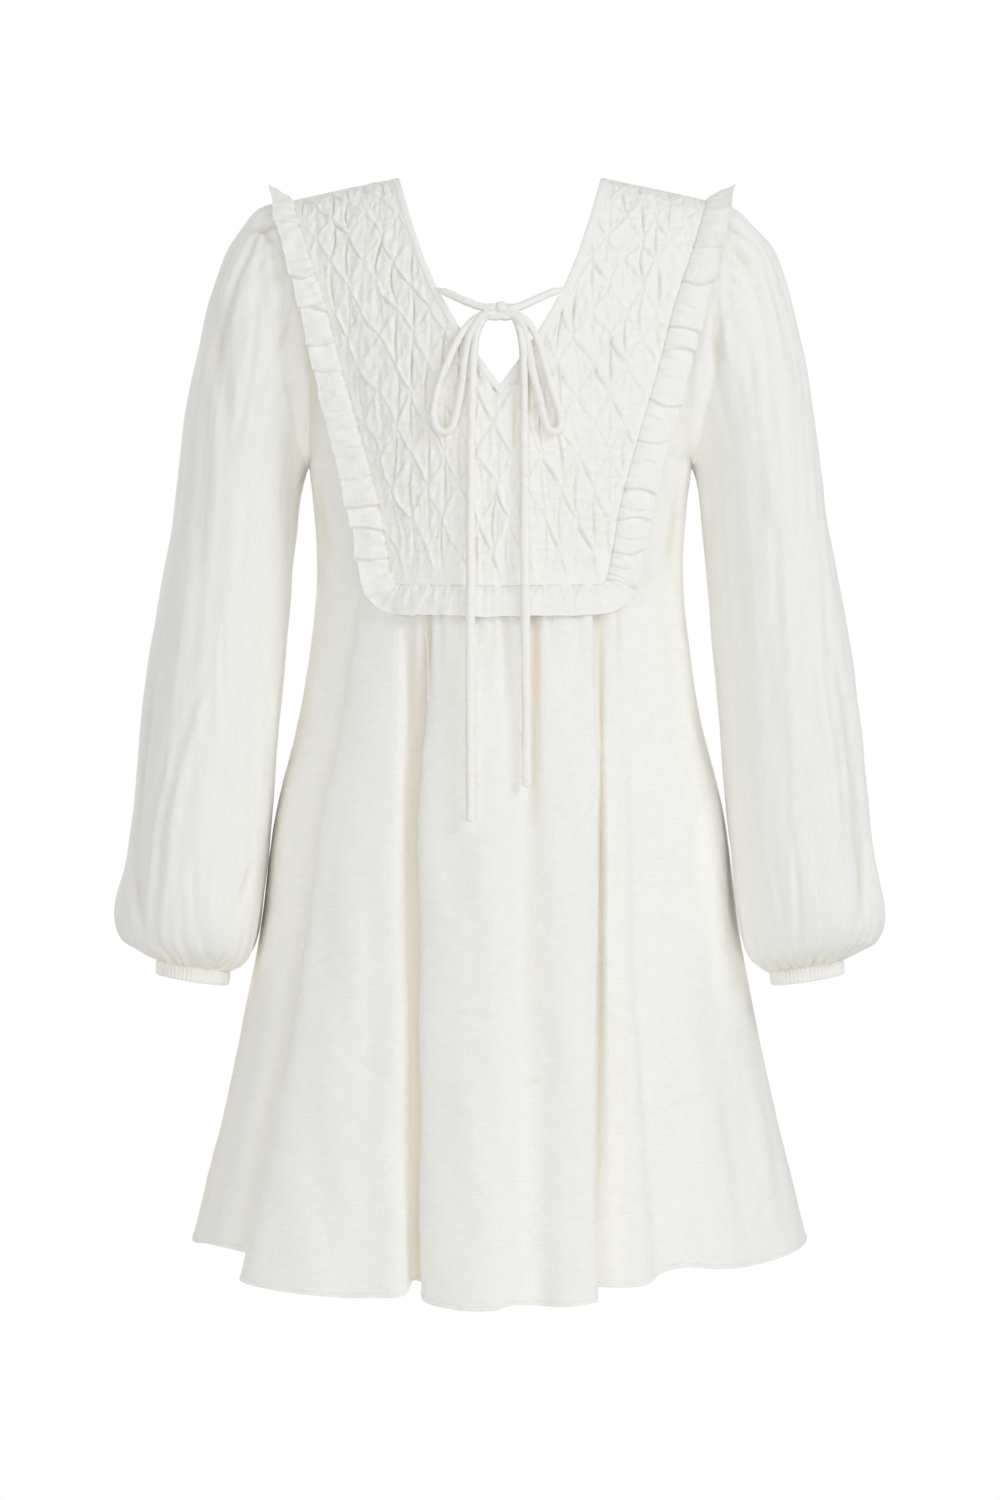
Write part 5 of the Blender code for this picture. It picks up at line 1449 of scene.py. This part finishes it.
# ---------- sleeves and cuffs
SLEEVE_END = len(SLEEVE["outer_x"]) - 1
SLEEVE_RADIUS = 0.058     # of the circle round which a sleeve's unevenness is laid
CUFF_RADIUS = 0.026       # and a cuff's
CREASE_REACH = 1.5        # length of a sleeve's creases, as a share of what their table says,
CREASE_SPREAD = 0.75      # their width
CREASE_DEPTH = 1.05       # and their depth


def around_sleeve(side, columns):
    """Turns around a sleeve from the shoulder, in the order that points its faces outwards."""
    return -side * np.arange(columns) / columns % 1.0


def circle(angle, radius):
    """x and y round a circle, on which unevenness has no seam."""
    return radius * np.cos(angle), radius * np.sin(angle)


def to_hand(side):
    """Direction in which the cuff goes on from the sleeve."""
    return unit(np.array([side * CUFF_LEAN, 0, -1]))


def armhole_ring(side, turns):
    """The armhole seam on the body, from the shoulder round by the front."""
    rows = 2 * ARMHOLE_ROWS * np.minimum(turns, 1 - turns)
    across = side * (1 - 0.0030 / read(FRONT, "half_width", rows))
    front, back = (panel_points(panel, across, rows)
                   + panel_normal(panel, across, rows) * 0.0001 for panel in (FRONT_PANEL, BACK_PANEL))
    return np.where((turns <= 0.5)[:, None], front, back)


def sleeve_ring(side, turns, row):
    """Ring of a sleeve through its outer and inner points."""
    outer = np.array([read(SLEEVE, "outer_x", row), 0, read(SLEEVE, "outer_z", row)])
    inner = np.array([read(SLEEVE, "inner_x", row), 0, read(SLEEVE, "inner_z", row)])
    middle = (outer + inner) / 2 + np.array([0, read(SLEEVE, "mid_y", row), 0])
    angle = math.tau * turns[:, None]
    forward = np.array([0, -read(SLEEVE, "half_depth", row), 0])
    ring = middle + (outer - inner) / 2 * np.cos(angle) + forward * np.sin(angle)
    return ring * np.array([side, 1, 1])


def plain_sleeve(side, turns):
    """Grid of a sleeve without relief, its rings at even distances down its front."""
    rings = np.stack([armhole_ring(side, turns)]
                     + [sleeve_ring(side, turns, float(row)) for row in range(SLEEVE_END + 1)])
    fine = np.linspace(0, len(rings) - 1, 900)
    along = lengths_along(along_curve(rings[:, SLEEVE_COLUMNS // 4], fine))
    return along_curve(rings, np.interp(np.linspace(0, along[-1], SLEEVE_ROWS), along, fine))


def head_gathers(angle, ring, wander, from_head, seed):
    """Gathers at the crown of a sleeve, where it is set into the armhole."""
    crown = ramp(np.cos(angle), -0.2, 0.6)
    length = 0.014 + 0.010 * (1 + unevenness(*ring, 0.016, seed))
    head = np.sin(38 * angle + 2.2 * wander) + 0.6 * np.sin(23 * angle + 3 * wander)
    return 0.0013 * crown * head * np.exp(-from_head / length) * ramp(from_head, 0.0, 0.003)


def wrist_gathers(angle, ring, wander, from_cuff, seed):
    """Gathers into the cuff: fine ones at the elastic, which join into fewer and longer ones."""
    length = 0.012 + 0.008 * (1 + unevenness(*ring, 0.012, seed))
    # height, number round the wrist, how much they wander and how far up they reach
    wrist = sum(height * np.sin(count * angle + stray * wander) * np.exp(-from_cuff / reach)
                for height, count, stray, reach in (
                    (0.0018, 26, 2.5, length), (0.0016, 15, -3, 1.8 * length), (0.0014, 44, 4, 0.0055)))
    return wrist * ramp(from_cuff, 0.0, 0.002)


def sleeve_creases(side, name, plain):
    """Listed creases on the side that faces the front, and their like on the hidden side."""
    facing = -grid_normals(plain, True)[..., 1]
    hidden = dict(SLEEVE_CREASES["hidden"])
    for column in ("x", "x2", "bow"):
        hidden[column] = side * hidden[column]
    relief = 0
    for listed, shown in ((SLEEVE_CREASES[name], facing), (hidden, -facing)):
        creased = CREASE_DEPTH * crease_relief(plain, listed, CREASE_REACH, CREASE_SPREAD)
        relief = relief + creased * ramp(shown, 0.05, 0.40)
    return relief


def sleeve_grid(side, name):
    """A balloon sleeve from the armhole seam to just inside its cuff, with gathers at both ends."""
    lift = bpy.context.scene.dress_cloth.lift
    turns = around_sleeve(side, SLEEVE_COLUMNS)
    plain = plain_sleeve(side, turns)
    from_head, from_cuff = lengths_along(plain), height_over_hem(plain)
    turn = turns[None, :]
    angle = math.tau * turn
    ring = circle(angle, SLEEVE_RADIUS)
    seed = 80 if side < 0 else 90
    wander = unevenness(*ring, 0.05, seed)
    head = head_gathers(angle, ring, wander, from_head, seed + 1)
    wrist = wrist_gathers(angle, ring, wander, from_cuff, seed + 2)
    creases = sleeve_creases(side, name, plain)
    # long soft folds that hang from the head and rise from the cuff
    hang = 0.45 + 0.75 * np.exp(-from_head / 0.14) + 0.55 * np.exp(-from_cuff / 0.09)
    folds = unevenness(ring[0] + 0.10 * from_head, ring[1], 0.0190, seed + 5)
    folds = folds + 0.28 * unevenness(ring[0] + 0.06 * from_head, ring[1], 0.0075, seed + 6)
    folds = 0.00050 * hang * folds
    x, y, z = plain[..., 0], plain[..., 1], plain[..., 2]
    waves = 0.0009 * unevenness(0.8 * x + y, 0.2 * z, 0.045, seed + 3)
    waves = waves + 0.0004 * unevenness(x + y, 0.4 * z, 0.02, seed + 4)
    middle = ramp(from_head, 0.0, 0.015) * ramp(from_cuff, 0.0, 0.010)
    underarm = -0.0006 * bell((turn - 0.5) * 0.33, 0.0012) * middle
    relief = (creases + waves + folds) * middle + head + wrist + underarm
    tucked_in = 0.0009 * (1 - ramp(from_cuff, 0.0, 0.003))
    points = raised(plain, lift * ramp(from_head, 0.0, 0.004) + relief - tucked_in, True)
    points = np.concatenate([points, points[-1:] + to_hand(side) * 0.0025])
    # painted shade in the creases, folds and gathers, and on the balloon just above the cuff
    painted_shade = 0.8 * ramp(-(creases + folds + head + 0.8 * wrist), 0.0009, 0.0042)
    painted_shade = np.maximum(painted_shade, 0.55 * bell(from_cuff, 0.016))
    return {"points": points, "painted_shade": np.concatenate([painted_shade, painted_shade[-1:]])}


def cuff_grid(side):
    """Narrow elasticated cuff, ribbed all round, with both edges turned in."""
    lift = bpy.context.scene.dress_cloth.lift
    turns = around_sleeve(side, CUFF_COLUMNS)
    ring = sleeve_ring(side, turns, float(SLEEVE_END))
    share = np.linspace(0, 1, CUFF_LINES)[:, None]
    plain = ring[None] + to_hand(side) * (CUFF_GAP + CUFF_DROP * share)[..., None]
    angle = math.tau * turns[None, :]
    ribs = round(lengths_along(ring)[-1] / bpy.context.scene.dress_trims.rib)
    spots = circle(angle, CUFF_RADIUS)
    wander = unevenness(*spots, 0.02, 101)
    lean = 0.6 * unevenness(*spots, 0.01, 103) * (share - 0.5)
    rib = np.sin(ribs * angle + 1.8 * wander + lean) * (0.8 + 0.3 * unevenness(*spots, 0.009, 105))
    edges = 1 - ramp(np.minimum(share, 1 - share), 0.0, 0.13)
    relief = 0.00050 * rib * (1 - 0.4 * edges) + 0.0002 * np.sin(math.pi * share) - 0.0006 * edges
    relief = relief + 0.0006 * rib * np.exp(-share / 0.25)
    # painted shade in the troughs between ribs, strongest at the top under the sleeve
    painted_shade = ramp(-rib, 0.1, 1.0) * (0.45 + 0.55 * np.exp(-share / 0.3))
    return {"points": raised(plain, lift - 0.0003 + relief, True), "painted_shade": painted_shade}


# ---------- ties
def smooth_route(spots, spacing):
    """Points at an even spacing along a smooth curve through the given ones."""
    spots = np.asarray(spots, dtype=float)
    rows = np.linspace(0, len(spots) - 1, 40 * len(spots))
    curve = along_curve(spots, rows)
    along = lengths_along(curve)
    return resample(curve, along, np.linspace(0, along[-1], max(int(round(along[-1] / spacing)), 2) + 1))


def tie_route(side):
    """Route of one tie: from the neckline into the knot, round its loop, back through the knot and
    down. Each tie makes the loop on the far side and the tail on its own side."""
    mine, far = ("left", "right") if side < 0 else ("right", "left")
    sewn_in = [(0.0505 * side, -0.1016, 0.0006), (0.0470 * side, -0.1030, 0.0022)]
    turned = [(-0.0036 * side, -0.1240, 0.0100), (0.0030 * side, -0.1262, 0.0100)]
    knot = front_spots([KNOT_SPOT]) + [0, 0.001 * side, 0]
    return np.concatenate([front_spots(sewn_in), front_spots(STRANDS[mine]), knot,
                           front_spots(LOOPS[far]), front_spots(turned), front_spots(TAILS[mine][1:])])


def tie_grid(route, radius, seed):
    """Tube along a route: a turned bias tube, with a soft seam, small cross folds and closed ends."""
    run = unit(np.gradient(route, axis=0))
    front = np.array([0.0, -1.0, 0.0])
    first = unit(front - run * (run @ front)[:, None])
    second = np.cross(run, first)
    angle = -math.tau * np.arange(TIE_COLUMNS)[None, :] / TIE_COLUMNS
    along = lengths_along(route)[:, None]
    bend = np.linalg.norm(np.gradient(run, axis=0), axis=-1) / np.gradient(along[:, 0])
    bend = smoothed(bend, np.ones(13) / 13)[:, None]
    ring_x, ring_y = circle(angle, radius)
    folds = unevenness(along + 0.5 * ring_y, 0.8 * ring_x, 0.0046, seed)
    relief = 0.00004 * folds * (1 + np.minimum(bend / 12, 3))
    relief = relief + 0.00010 * unevenness(along, 2 * ring_x + ring_y, 0.022, seed + 1)
    # the seam winds a little as it goes down the tie
    winding = 0.30 + 0.04 * unevenness(along, 0.0, 0.09, seed + 2)
    seam = np.abs((angle / math.tau + winding) % 1 - 0.5)
    relief = relief - 0.0003 * bell(seam, 0.03)
    end = np.minimum(along, along[-1] - along)
    close = np.sqrt(np.clip(1 - (1 - np.minimum(end / (radius * 0.6), 1)) ** 2, 0, 1))
    close = close * (0.45 + 0.55 * ramp(along, 0.002, 0.012))
    flat = 1 + 0.14 * ramp(along, along[-1] - 0.30, along[-1] - 0.20)
    reach = (radius + relief) * close
    deep, wide = reach * np.cos(angle) / flat, reach * np.sin(angle) * flat
    points = route[:, None] + first[:, None] * deep[..., None] + second[:, None] * wide[..., None]
    # painted shade along the seam's groove and in the cross folds
    painted_shade = 0.55 * bell(seam, 0.05) + 0.35 * ramp(-folds, 0.6, 1.8)
    return {"points": points, "painted_shade": painted_shade}


def knot_grid():
    """Wrap of the knot: the cord that goes round the two ties, seen as a short upright band with a
    soft fold to each side of it."""
    middle = front_spots([KNOT_SPOT])[0] + [0.0006, -0.0002, -0.0010]
    turn = -math.tau * np.arange(KNOT_COLUMNS)[None, :] / KNOT_COLUMNS
    share = np.linspace(-1, 1, KNOT_ROWS)[:, None]
    # a bundle that is thick in its middle and draws in to both ties
    bulge = np.sqrt(np.clip(1 - np.abs(share) ** 2.6, 0, 1))
    wrap = np.exp(-((share - 0.05) / 0.34) ** 4)
    grooves = bell(share - 0.44 - 0.06 * np.sin(turn), 0.09)
    grooves = grooves + bell(share + 0.36 - 0.07 * np.cos(turn), 0.09)
    tall = 0.0034 * bulge + 0.0016 * wrap - 0.0008 * grooves
    deep = 0.0042 * bulge + 0.0018 * wrap - 0.0010 * grooves
    folds = 1 + 0.03 * np.sin(3 * turn + 5 * share)
    x = middle[0] + 0.0128 * share
    y = middle[1] - deep * folds * np.cos(turn)
    z = middle[2] - tall * folds * np.sin(turn) + 0.0006 * np.cos(2.2 * share)
    # painted shade on the underside of the knot and in the grooves beside its wrap
    under = ramp(np.sin(turn), 0.2, 0.9)
    return {"points": np.stack(np.broadcast_arrays(x, y, z), -1),
            "painted_shade": np.maximum(np.clip(grooves, 0, 1) * 0.8, under)}


# ---------- hem stitches
# One stitch, in shares of its half length, width and height: two square ends, each with a point.
STITCH_SPOTS = [(end, *corner) for end in (-0.55, 0.55)
                for corner in ((0, 1), (1, 0), (0, -1), (-1, 0))] + [(-1, 0, -0.4), (1, 0, -0.4)]
STITCH_SIDES = [(k, (k + 1) % 4) for k in range(4)]
STITCH_FACES = ([(a, 4 + a, 4 + b, b) for a, b in STITCH_SIDES] + [(8, a, b) for a, b in STITCH_SIDES]
                + [(9, 4 + b, 4 + a) for a, b in STITCH_SIDES])


def stitch_row(name, line, normals, slot):
    """A row of short stitches in one mesh, each half sunk into the cloth, along a line of points."""
    pitch = bpy.context.scene.dress_trims.stitch
    along = lengths_along(line)
    places = np.arange(pitch / 2, along[-1] - pitch / 2, pitch)
    middles = resample(line, along, places)
    fronts = unit(resample(normals, along, places))
    runs = unit(resample(line, along, places + pitch / 4) - resample(line, along, places - pitch / 4))
    sides = np.cross(fronts, runs)
    half, wide, tall = pitch * 0.34, 0.00030, 0.00024
    spots, faces = [], []
    for middle, run, side, front in zip(middles, runs, sides, fronts):
        first = len(spots)
        spots += [middle + run * half * a + side * wide * b + front * tall * c
                  for a, b, c in STITCH_SPOTS]
        faces += [[first + corner for corner in face] for face in STITCH_FACES]
    mesh = bpy.data.meshes.new(name)
    mesh.from_pydata(spots, [], faces)
    obj = placed(name, mesh)
    only(obj)
    bpy.ops.object.mode_set(mode="EDIT")
    bpy.ops.mesh.select_all(action="SELECT")
    bpy.ops.mesh.normals_make_consistent(inside=False)
    bpy.ops.object.mode_set(mode="OBJECT")
    bpy.ops.object.shade_smooth()
    return hand_over(obj, slot)


def hem_line(grids):
    """Points and normals of the stitch line, along the hem of a front or back."""
    lines, normals = [], []
    for points in (grid["points"] for grid in grids):
        over, outward = height_over_hem(points), grid_normals(points)
        last = len(points) - 1
        for k in range(points.shape[1]):
            place = np.interp(HEM_TURN, over[::-1, k], np.arange(last + 1)[::-1])
            above = int(place)
            part = place - above
            lines.append(points[above, k] * (1 - part) + points[min(above + 1, last), k] * part)
            normals.append(outward[min(above, last - HEM_LINES // 2), k])
    return np.array(lines), np.array(normals)


# ---------- studio
LIT_SPOT = (0, 0, -0.40)  # where the lights are aimed
DEEP_BOUNCES = 3.5        # after more bounces than this, light counts as coming through the linen
DEEP_LIGHT = 2.1          # and is this many times stronger


def soft_light(name, place, power, size, colour=(1, 1, 1)):
    """A large soft light that shines on the dress."""
    light = bpy.data.lights.new(name, "AREA")
    light.shape = "DISK"
    light.energy = power
    light.size = size
    light.color = colour
    obj = placed(name, light)
    obj.location = place
    obj.rotation_euler = (Vector(LIT_SPOT) - obj.location).to_track_quat("-Z", "Y").to_euler()
    return obj


def shader_mix(tree, place, weight, first, second):
    """A mix of two shaders."""
    node = new_node(tree, "ShaderNodeMixShader", place)
    for k, source in enumerate((weight, first.outputs[0], second.outputs[0])):
        tree.links.new(source, node.inputs[k])
    return node


def plain_surround(strength):
    """White all round for the eye, and an even light of the given strength on the cloth."""
    world = bpy.data.worlds.new("Dress Studio")
    world.use_nodes = True
    tree = world.node_tree
    seen, lit, deep = (
        new_node(tree, "ShaderNodeBackground", (-200, y), Strength=power, Color=(*colour, 1))
        for y, power, colour in ((200, 1.0, (1.0, 1.0, 1.0)), (0, strength, (1.0, 0.990, 0.960)),
                                 (-200, strength * DEEP_LIGHT, (1.0, 0.94, 0.82))))
    path = new_node(tree, "ShaderNodeLightPath", (-700, 500))
    # in deep folds, light comes through the linen too, and is warm
    far = worked_out(tree, (-450, 300), "GREATER_THAN", path.outputs["Ray Depth"], DEEP_BOUNCES)
    folds = shader_mix(tree, (0, -50), far.outputs[0], lit, deep)
    choice = shader_mix(tree, (150, 100), path.outputs["Is Camera Ray"], folds, seen)
    tree.links.new(choice.outputs[0], tree.nodes["World Output"].inputs["Surface"])
    bpy.context.scene.world = world


def pale_floor(height, radius):
    """Round floor, where a wearer would stand."""
    bpy.ops.mesh.primitive_circle_add(vertices=160, radius=radius, fill_type="NGON",
                                      location=(0, 0, height))
    floor = bpy.context.active_object
    floor.name = "studio_floor"
    bpy.ops.object.mode_set(mode="EDIT")
    bpy.ops.mesh.select_all(action="SELECT")
    bpy.ops.mesh.extrude_region_move(TRANSFORM_OT_translate={"value": (0, 0, -0.012)})
    bpy.ops.mesh.normals_make_consistent(inside=False)
    bpy.ops.object.mode_set(mode="OBJECT")
    bpy.ops.object.transform_apply(location=True, rotation=True, scale=True)
    material, tree, shader = new_material("dress_floor", Base_Color=(0.86, 0.86, 0.855, 1),
                                          Roughness=0.9, Specular_IOR_Level=0.1)
    place = new_node(tree, "ShaderNodeTexCoord", (-900, 0))
    grain = new_node(tree, "ShaderNodeTexNoise", (-650, 0), Vector=place.outputs["Object"],
                     Scale=90.0, Detail=2.0)
    bump = new_node(tree, "ShaderNodeBump", (-300, 0), Height=grain.outputs[0], Strength=0.05,
                    Distance=0.001)
    tree.links.new(bump.outputs["Normal"], shader.inputs["Normal"])
    floor.data.materials.append(material)
    return floor


# ---------- operators
class DRESS_OT_studio(Operator):
    """Camera, soft light and a plain pale floor"""
    bl_idname = "dress.studio"
    bl_label = "Studio"

    def execute(self, context):
        studio = context.scene.dress_studio
        camera = bpy.data.cameras.new("studio_camera")
        camera.sensor_width = 36
        camera.lens = studio.lens
        eye = placed("studio_camera", camera)
        eye.location = (0, -studio.distance, studio.height)
        eye.rotation_euler = (math.pi / 2, 0, 0)
        context.scene.camera = eye
        context.scene.view_settings.view_transform = "Standard"
        plain_surround(studio.sky)
        soft_light("key_light", (2.1, -1.9, 1.1), studio.key, 1.3, (0.98, 1.0, 1.03))
        for x, name in ((-0.9, "fill_light_left"), (0.9, "fill_light_right")):
            soft_light(name, (x, -3.1, -0.5), studio.fill / 2, 1.0)
        back = soft_light("back_light", (-2.0, 2.3, 0.7), studio.back, 1.2)
        back.visible_camera = False
        pale_floor(studio.floor, studio.floor_radius)
        return {"FINISHED"}


class DRESS_OT_ties(Operator):
    """Two rouleau ties, from the neckline through their loops to their free ends, and the knot"""
    bl_idname = "dress.ties"
    bl_label = "Ties and bow"

    def execute(self, context):
        thick = context.scene.dress_trims.tie
        knot = cloth_object("tie_bow_knot", [knot_grid()], closed=True, tube=True)
        hand_over(knot, "linen_trim", "tie_knot")
        for side, mine, far in ((-1, "left", "right"), (1, "right", "left")):
            route = smooth_route(tie_route(side), TIE_SPACING)
            grid = tie_grid(route, thick / 2, 111 if side < 0 else 121)
            tie = cloth_object("tie_" + mine, [grid], closed=True, tube=True)
            hand_over(tie, "linen_trim", "tie_strand_" + mine, "tie_loop_" + far, "tie_tail_" + mine)
        return {"FINISHED"}


class DRESS_OT_body(Operator):
    """Front and back, from the shoulders to the stitched hem"""
    bl_idname = "dress.body"
    bl_label = "Front and back"

    def execute(self, context):
        front, back = front_grids(), back_grids()
        for name, node, grids, hemmed, flat in (
                ("dress_front", "front_panel", front, front[:1], FRONT_CUT),
                ("dress_back", "back_panel", back, back, BACK_CUT)):
            panel = hand_over(cloth_object(name, grids, inside=0.15), "linen", node)
            stitches = stitch_row(name + "_hem_stitches", *hem_line(hemmed), "linen_trim")
        return {"FINISHED"}


class DRESS_OT_bib(Operator):
    """Honeycomb-smocked bib of the front"""
    bl_idname = "dress.bib"
    bl_label = "Smocked bib"

    def execute(self, context):
        grids = bib_grids()
        bib = hand_over(cloth_object("smocked_bib", grids, inside=0.12), "linen", "bib_front")
        return {"FINISHED"}


class DRESS_OT_trims(Operator):
    """Gathered ruffle around the bib, and the neck binding"""
    bl_idname = "dress.trims"
    bl_label = "Ruffle and binding"

    def execute(self, context):
        ruffle = cloth_object("bib_edge_ruffle", [ruffle_grid()], inside=0.3)
        hand_over(ruffle, "linen_trim", "bib_ruffle")
        binding = cloth_object("neck_edge_binding", [binding_grid()], tube=True)
        hand_over(binding, "linen_trim", "neck_binding")
        return {"FINISHED"}


class DRESS_OT_sleeves(Operator):
    """Balloon sleeves and their ribbed cuffs"""
    bl_idname = "dress.sleeves"
    bl_label = "Sleeves and cuffs"

    def execute(self, context):
        for side, name in ((-1, "left"), (1, "right")):
            grid = sleeve_grid(side, name)
            sleeve = cloth_object("balloon_sleeve_" + name, [grid], closed=True, inside=0.15)
            hand_over(sleeve, "linen", "sleeve_" + name)
            cuff = cloth_object("ribbed_cuff_" + name, [cuff_grid(side)], closed=True)
            hand_over(cuff, "linen_trim", "cuff_" + name)
        return {"FINISHED"}


class DRESS_PT_sidebar(Panel):
    """Sizes and steps of the dress"""
    bl_label = "Smocked Mini Dress"
    bl_space_type = "VIEW_3D"
    bl_region_type = "UI"
    bl_category = "Dress"

    def draw(self, context):
        for step in STEPS:
            self.layout.operator(step.bl_idname)
        for group in GROUPS:
            settings = getattr(context.scene, group)
            box = self.layout.box()
            for name in settings.__annotations__:
                box.prop(settings, name)


GROUPS = {"dress_cloth": DressCloth, "dress_smocking": DressSmocking, "dress_trims": DressTrims,
          "dress_studio": DressStudio}
STEPS = (DRESS_OT_studio, DRESS_OT_ties, DRESS_OT_body, DRESS_OT_bib, DRESS_OT_trims, DRESS_OT_sleeves)
CLASSES = (*GROUPS.values(), *STEPS, DRESS_PT_sidebar)


def register():
    for part in CLASSES:
        bpy.utils.register_class(part)
    for name, group in GROUPS.items():
        setattr(bpy.types.Scene, name, PointerProperty(type=group))


def unregister():
    for name in GROUPS:
        delattr(bpy.types.Scene, name)
    for part in reversed(CLASSES):
        bpy.utils.unregister_class(part)


def main():
    """Builds the studio and the dress."""
    register()
    bpy.ops.dress.studio()
    bpy.ops.dress.ties()
    bpy.ops.dress.body()
    bpy.ops.dress.bib()
    bpy.ops.dress.trims()
    bpy.ops.dress.sleeves()


if __name__ == "__main__":
    main()
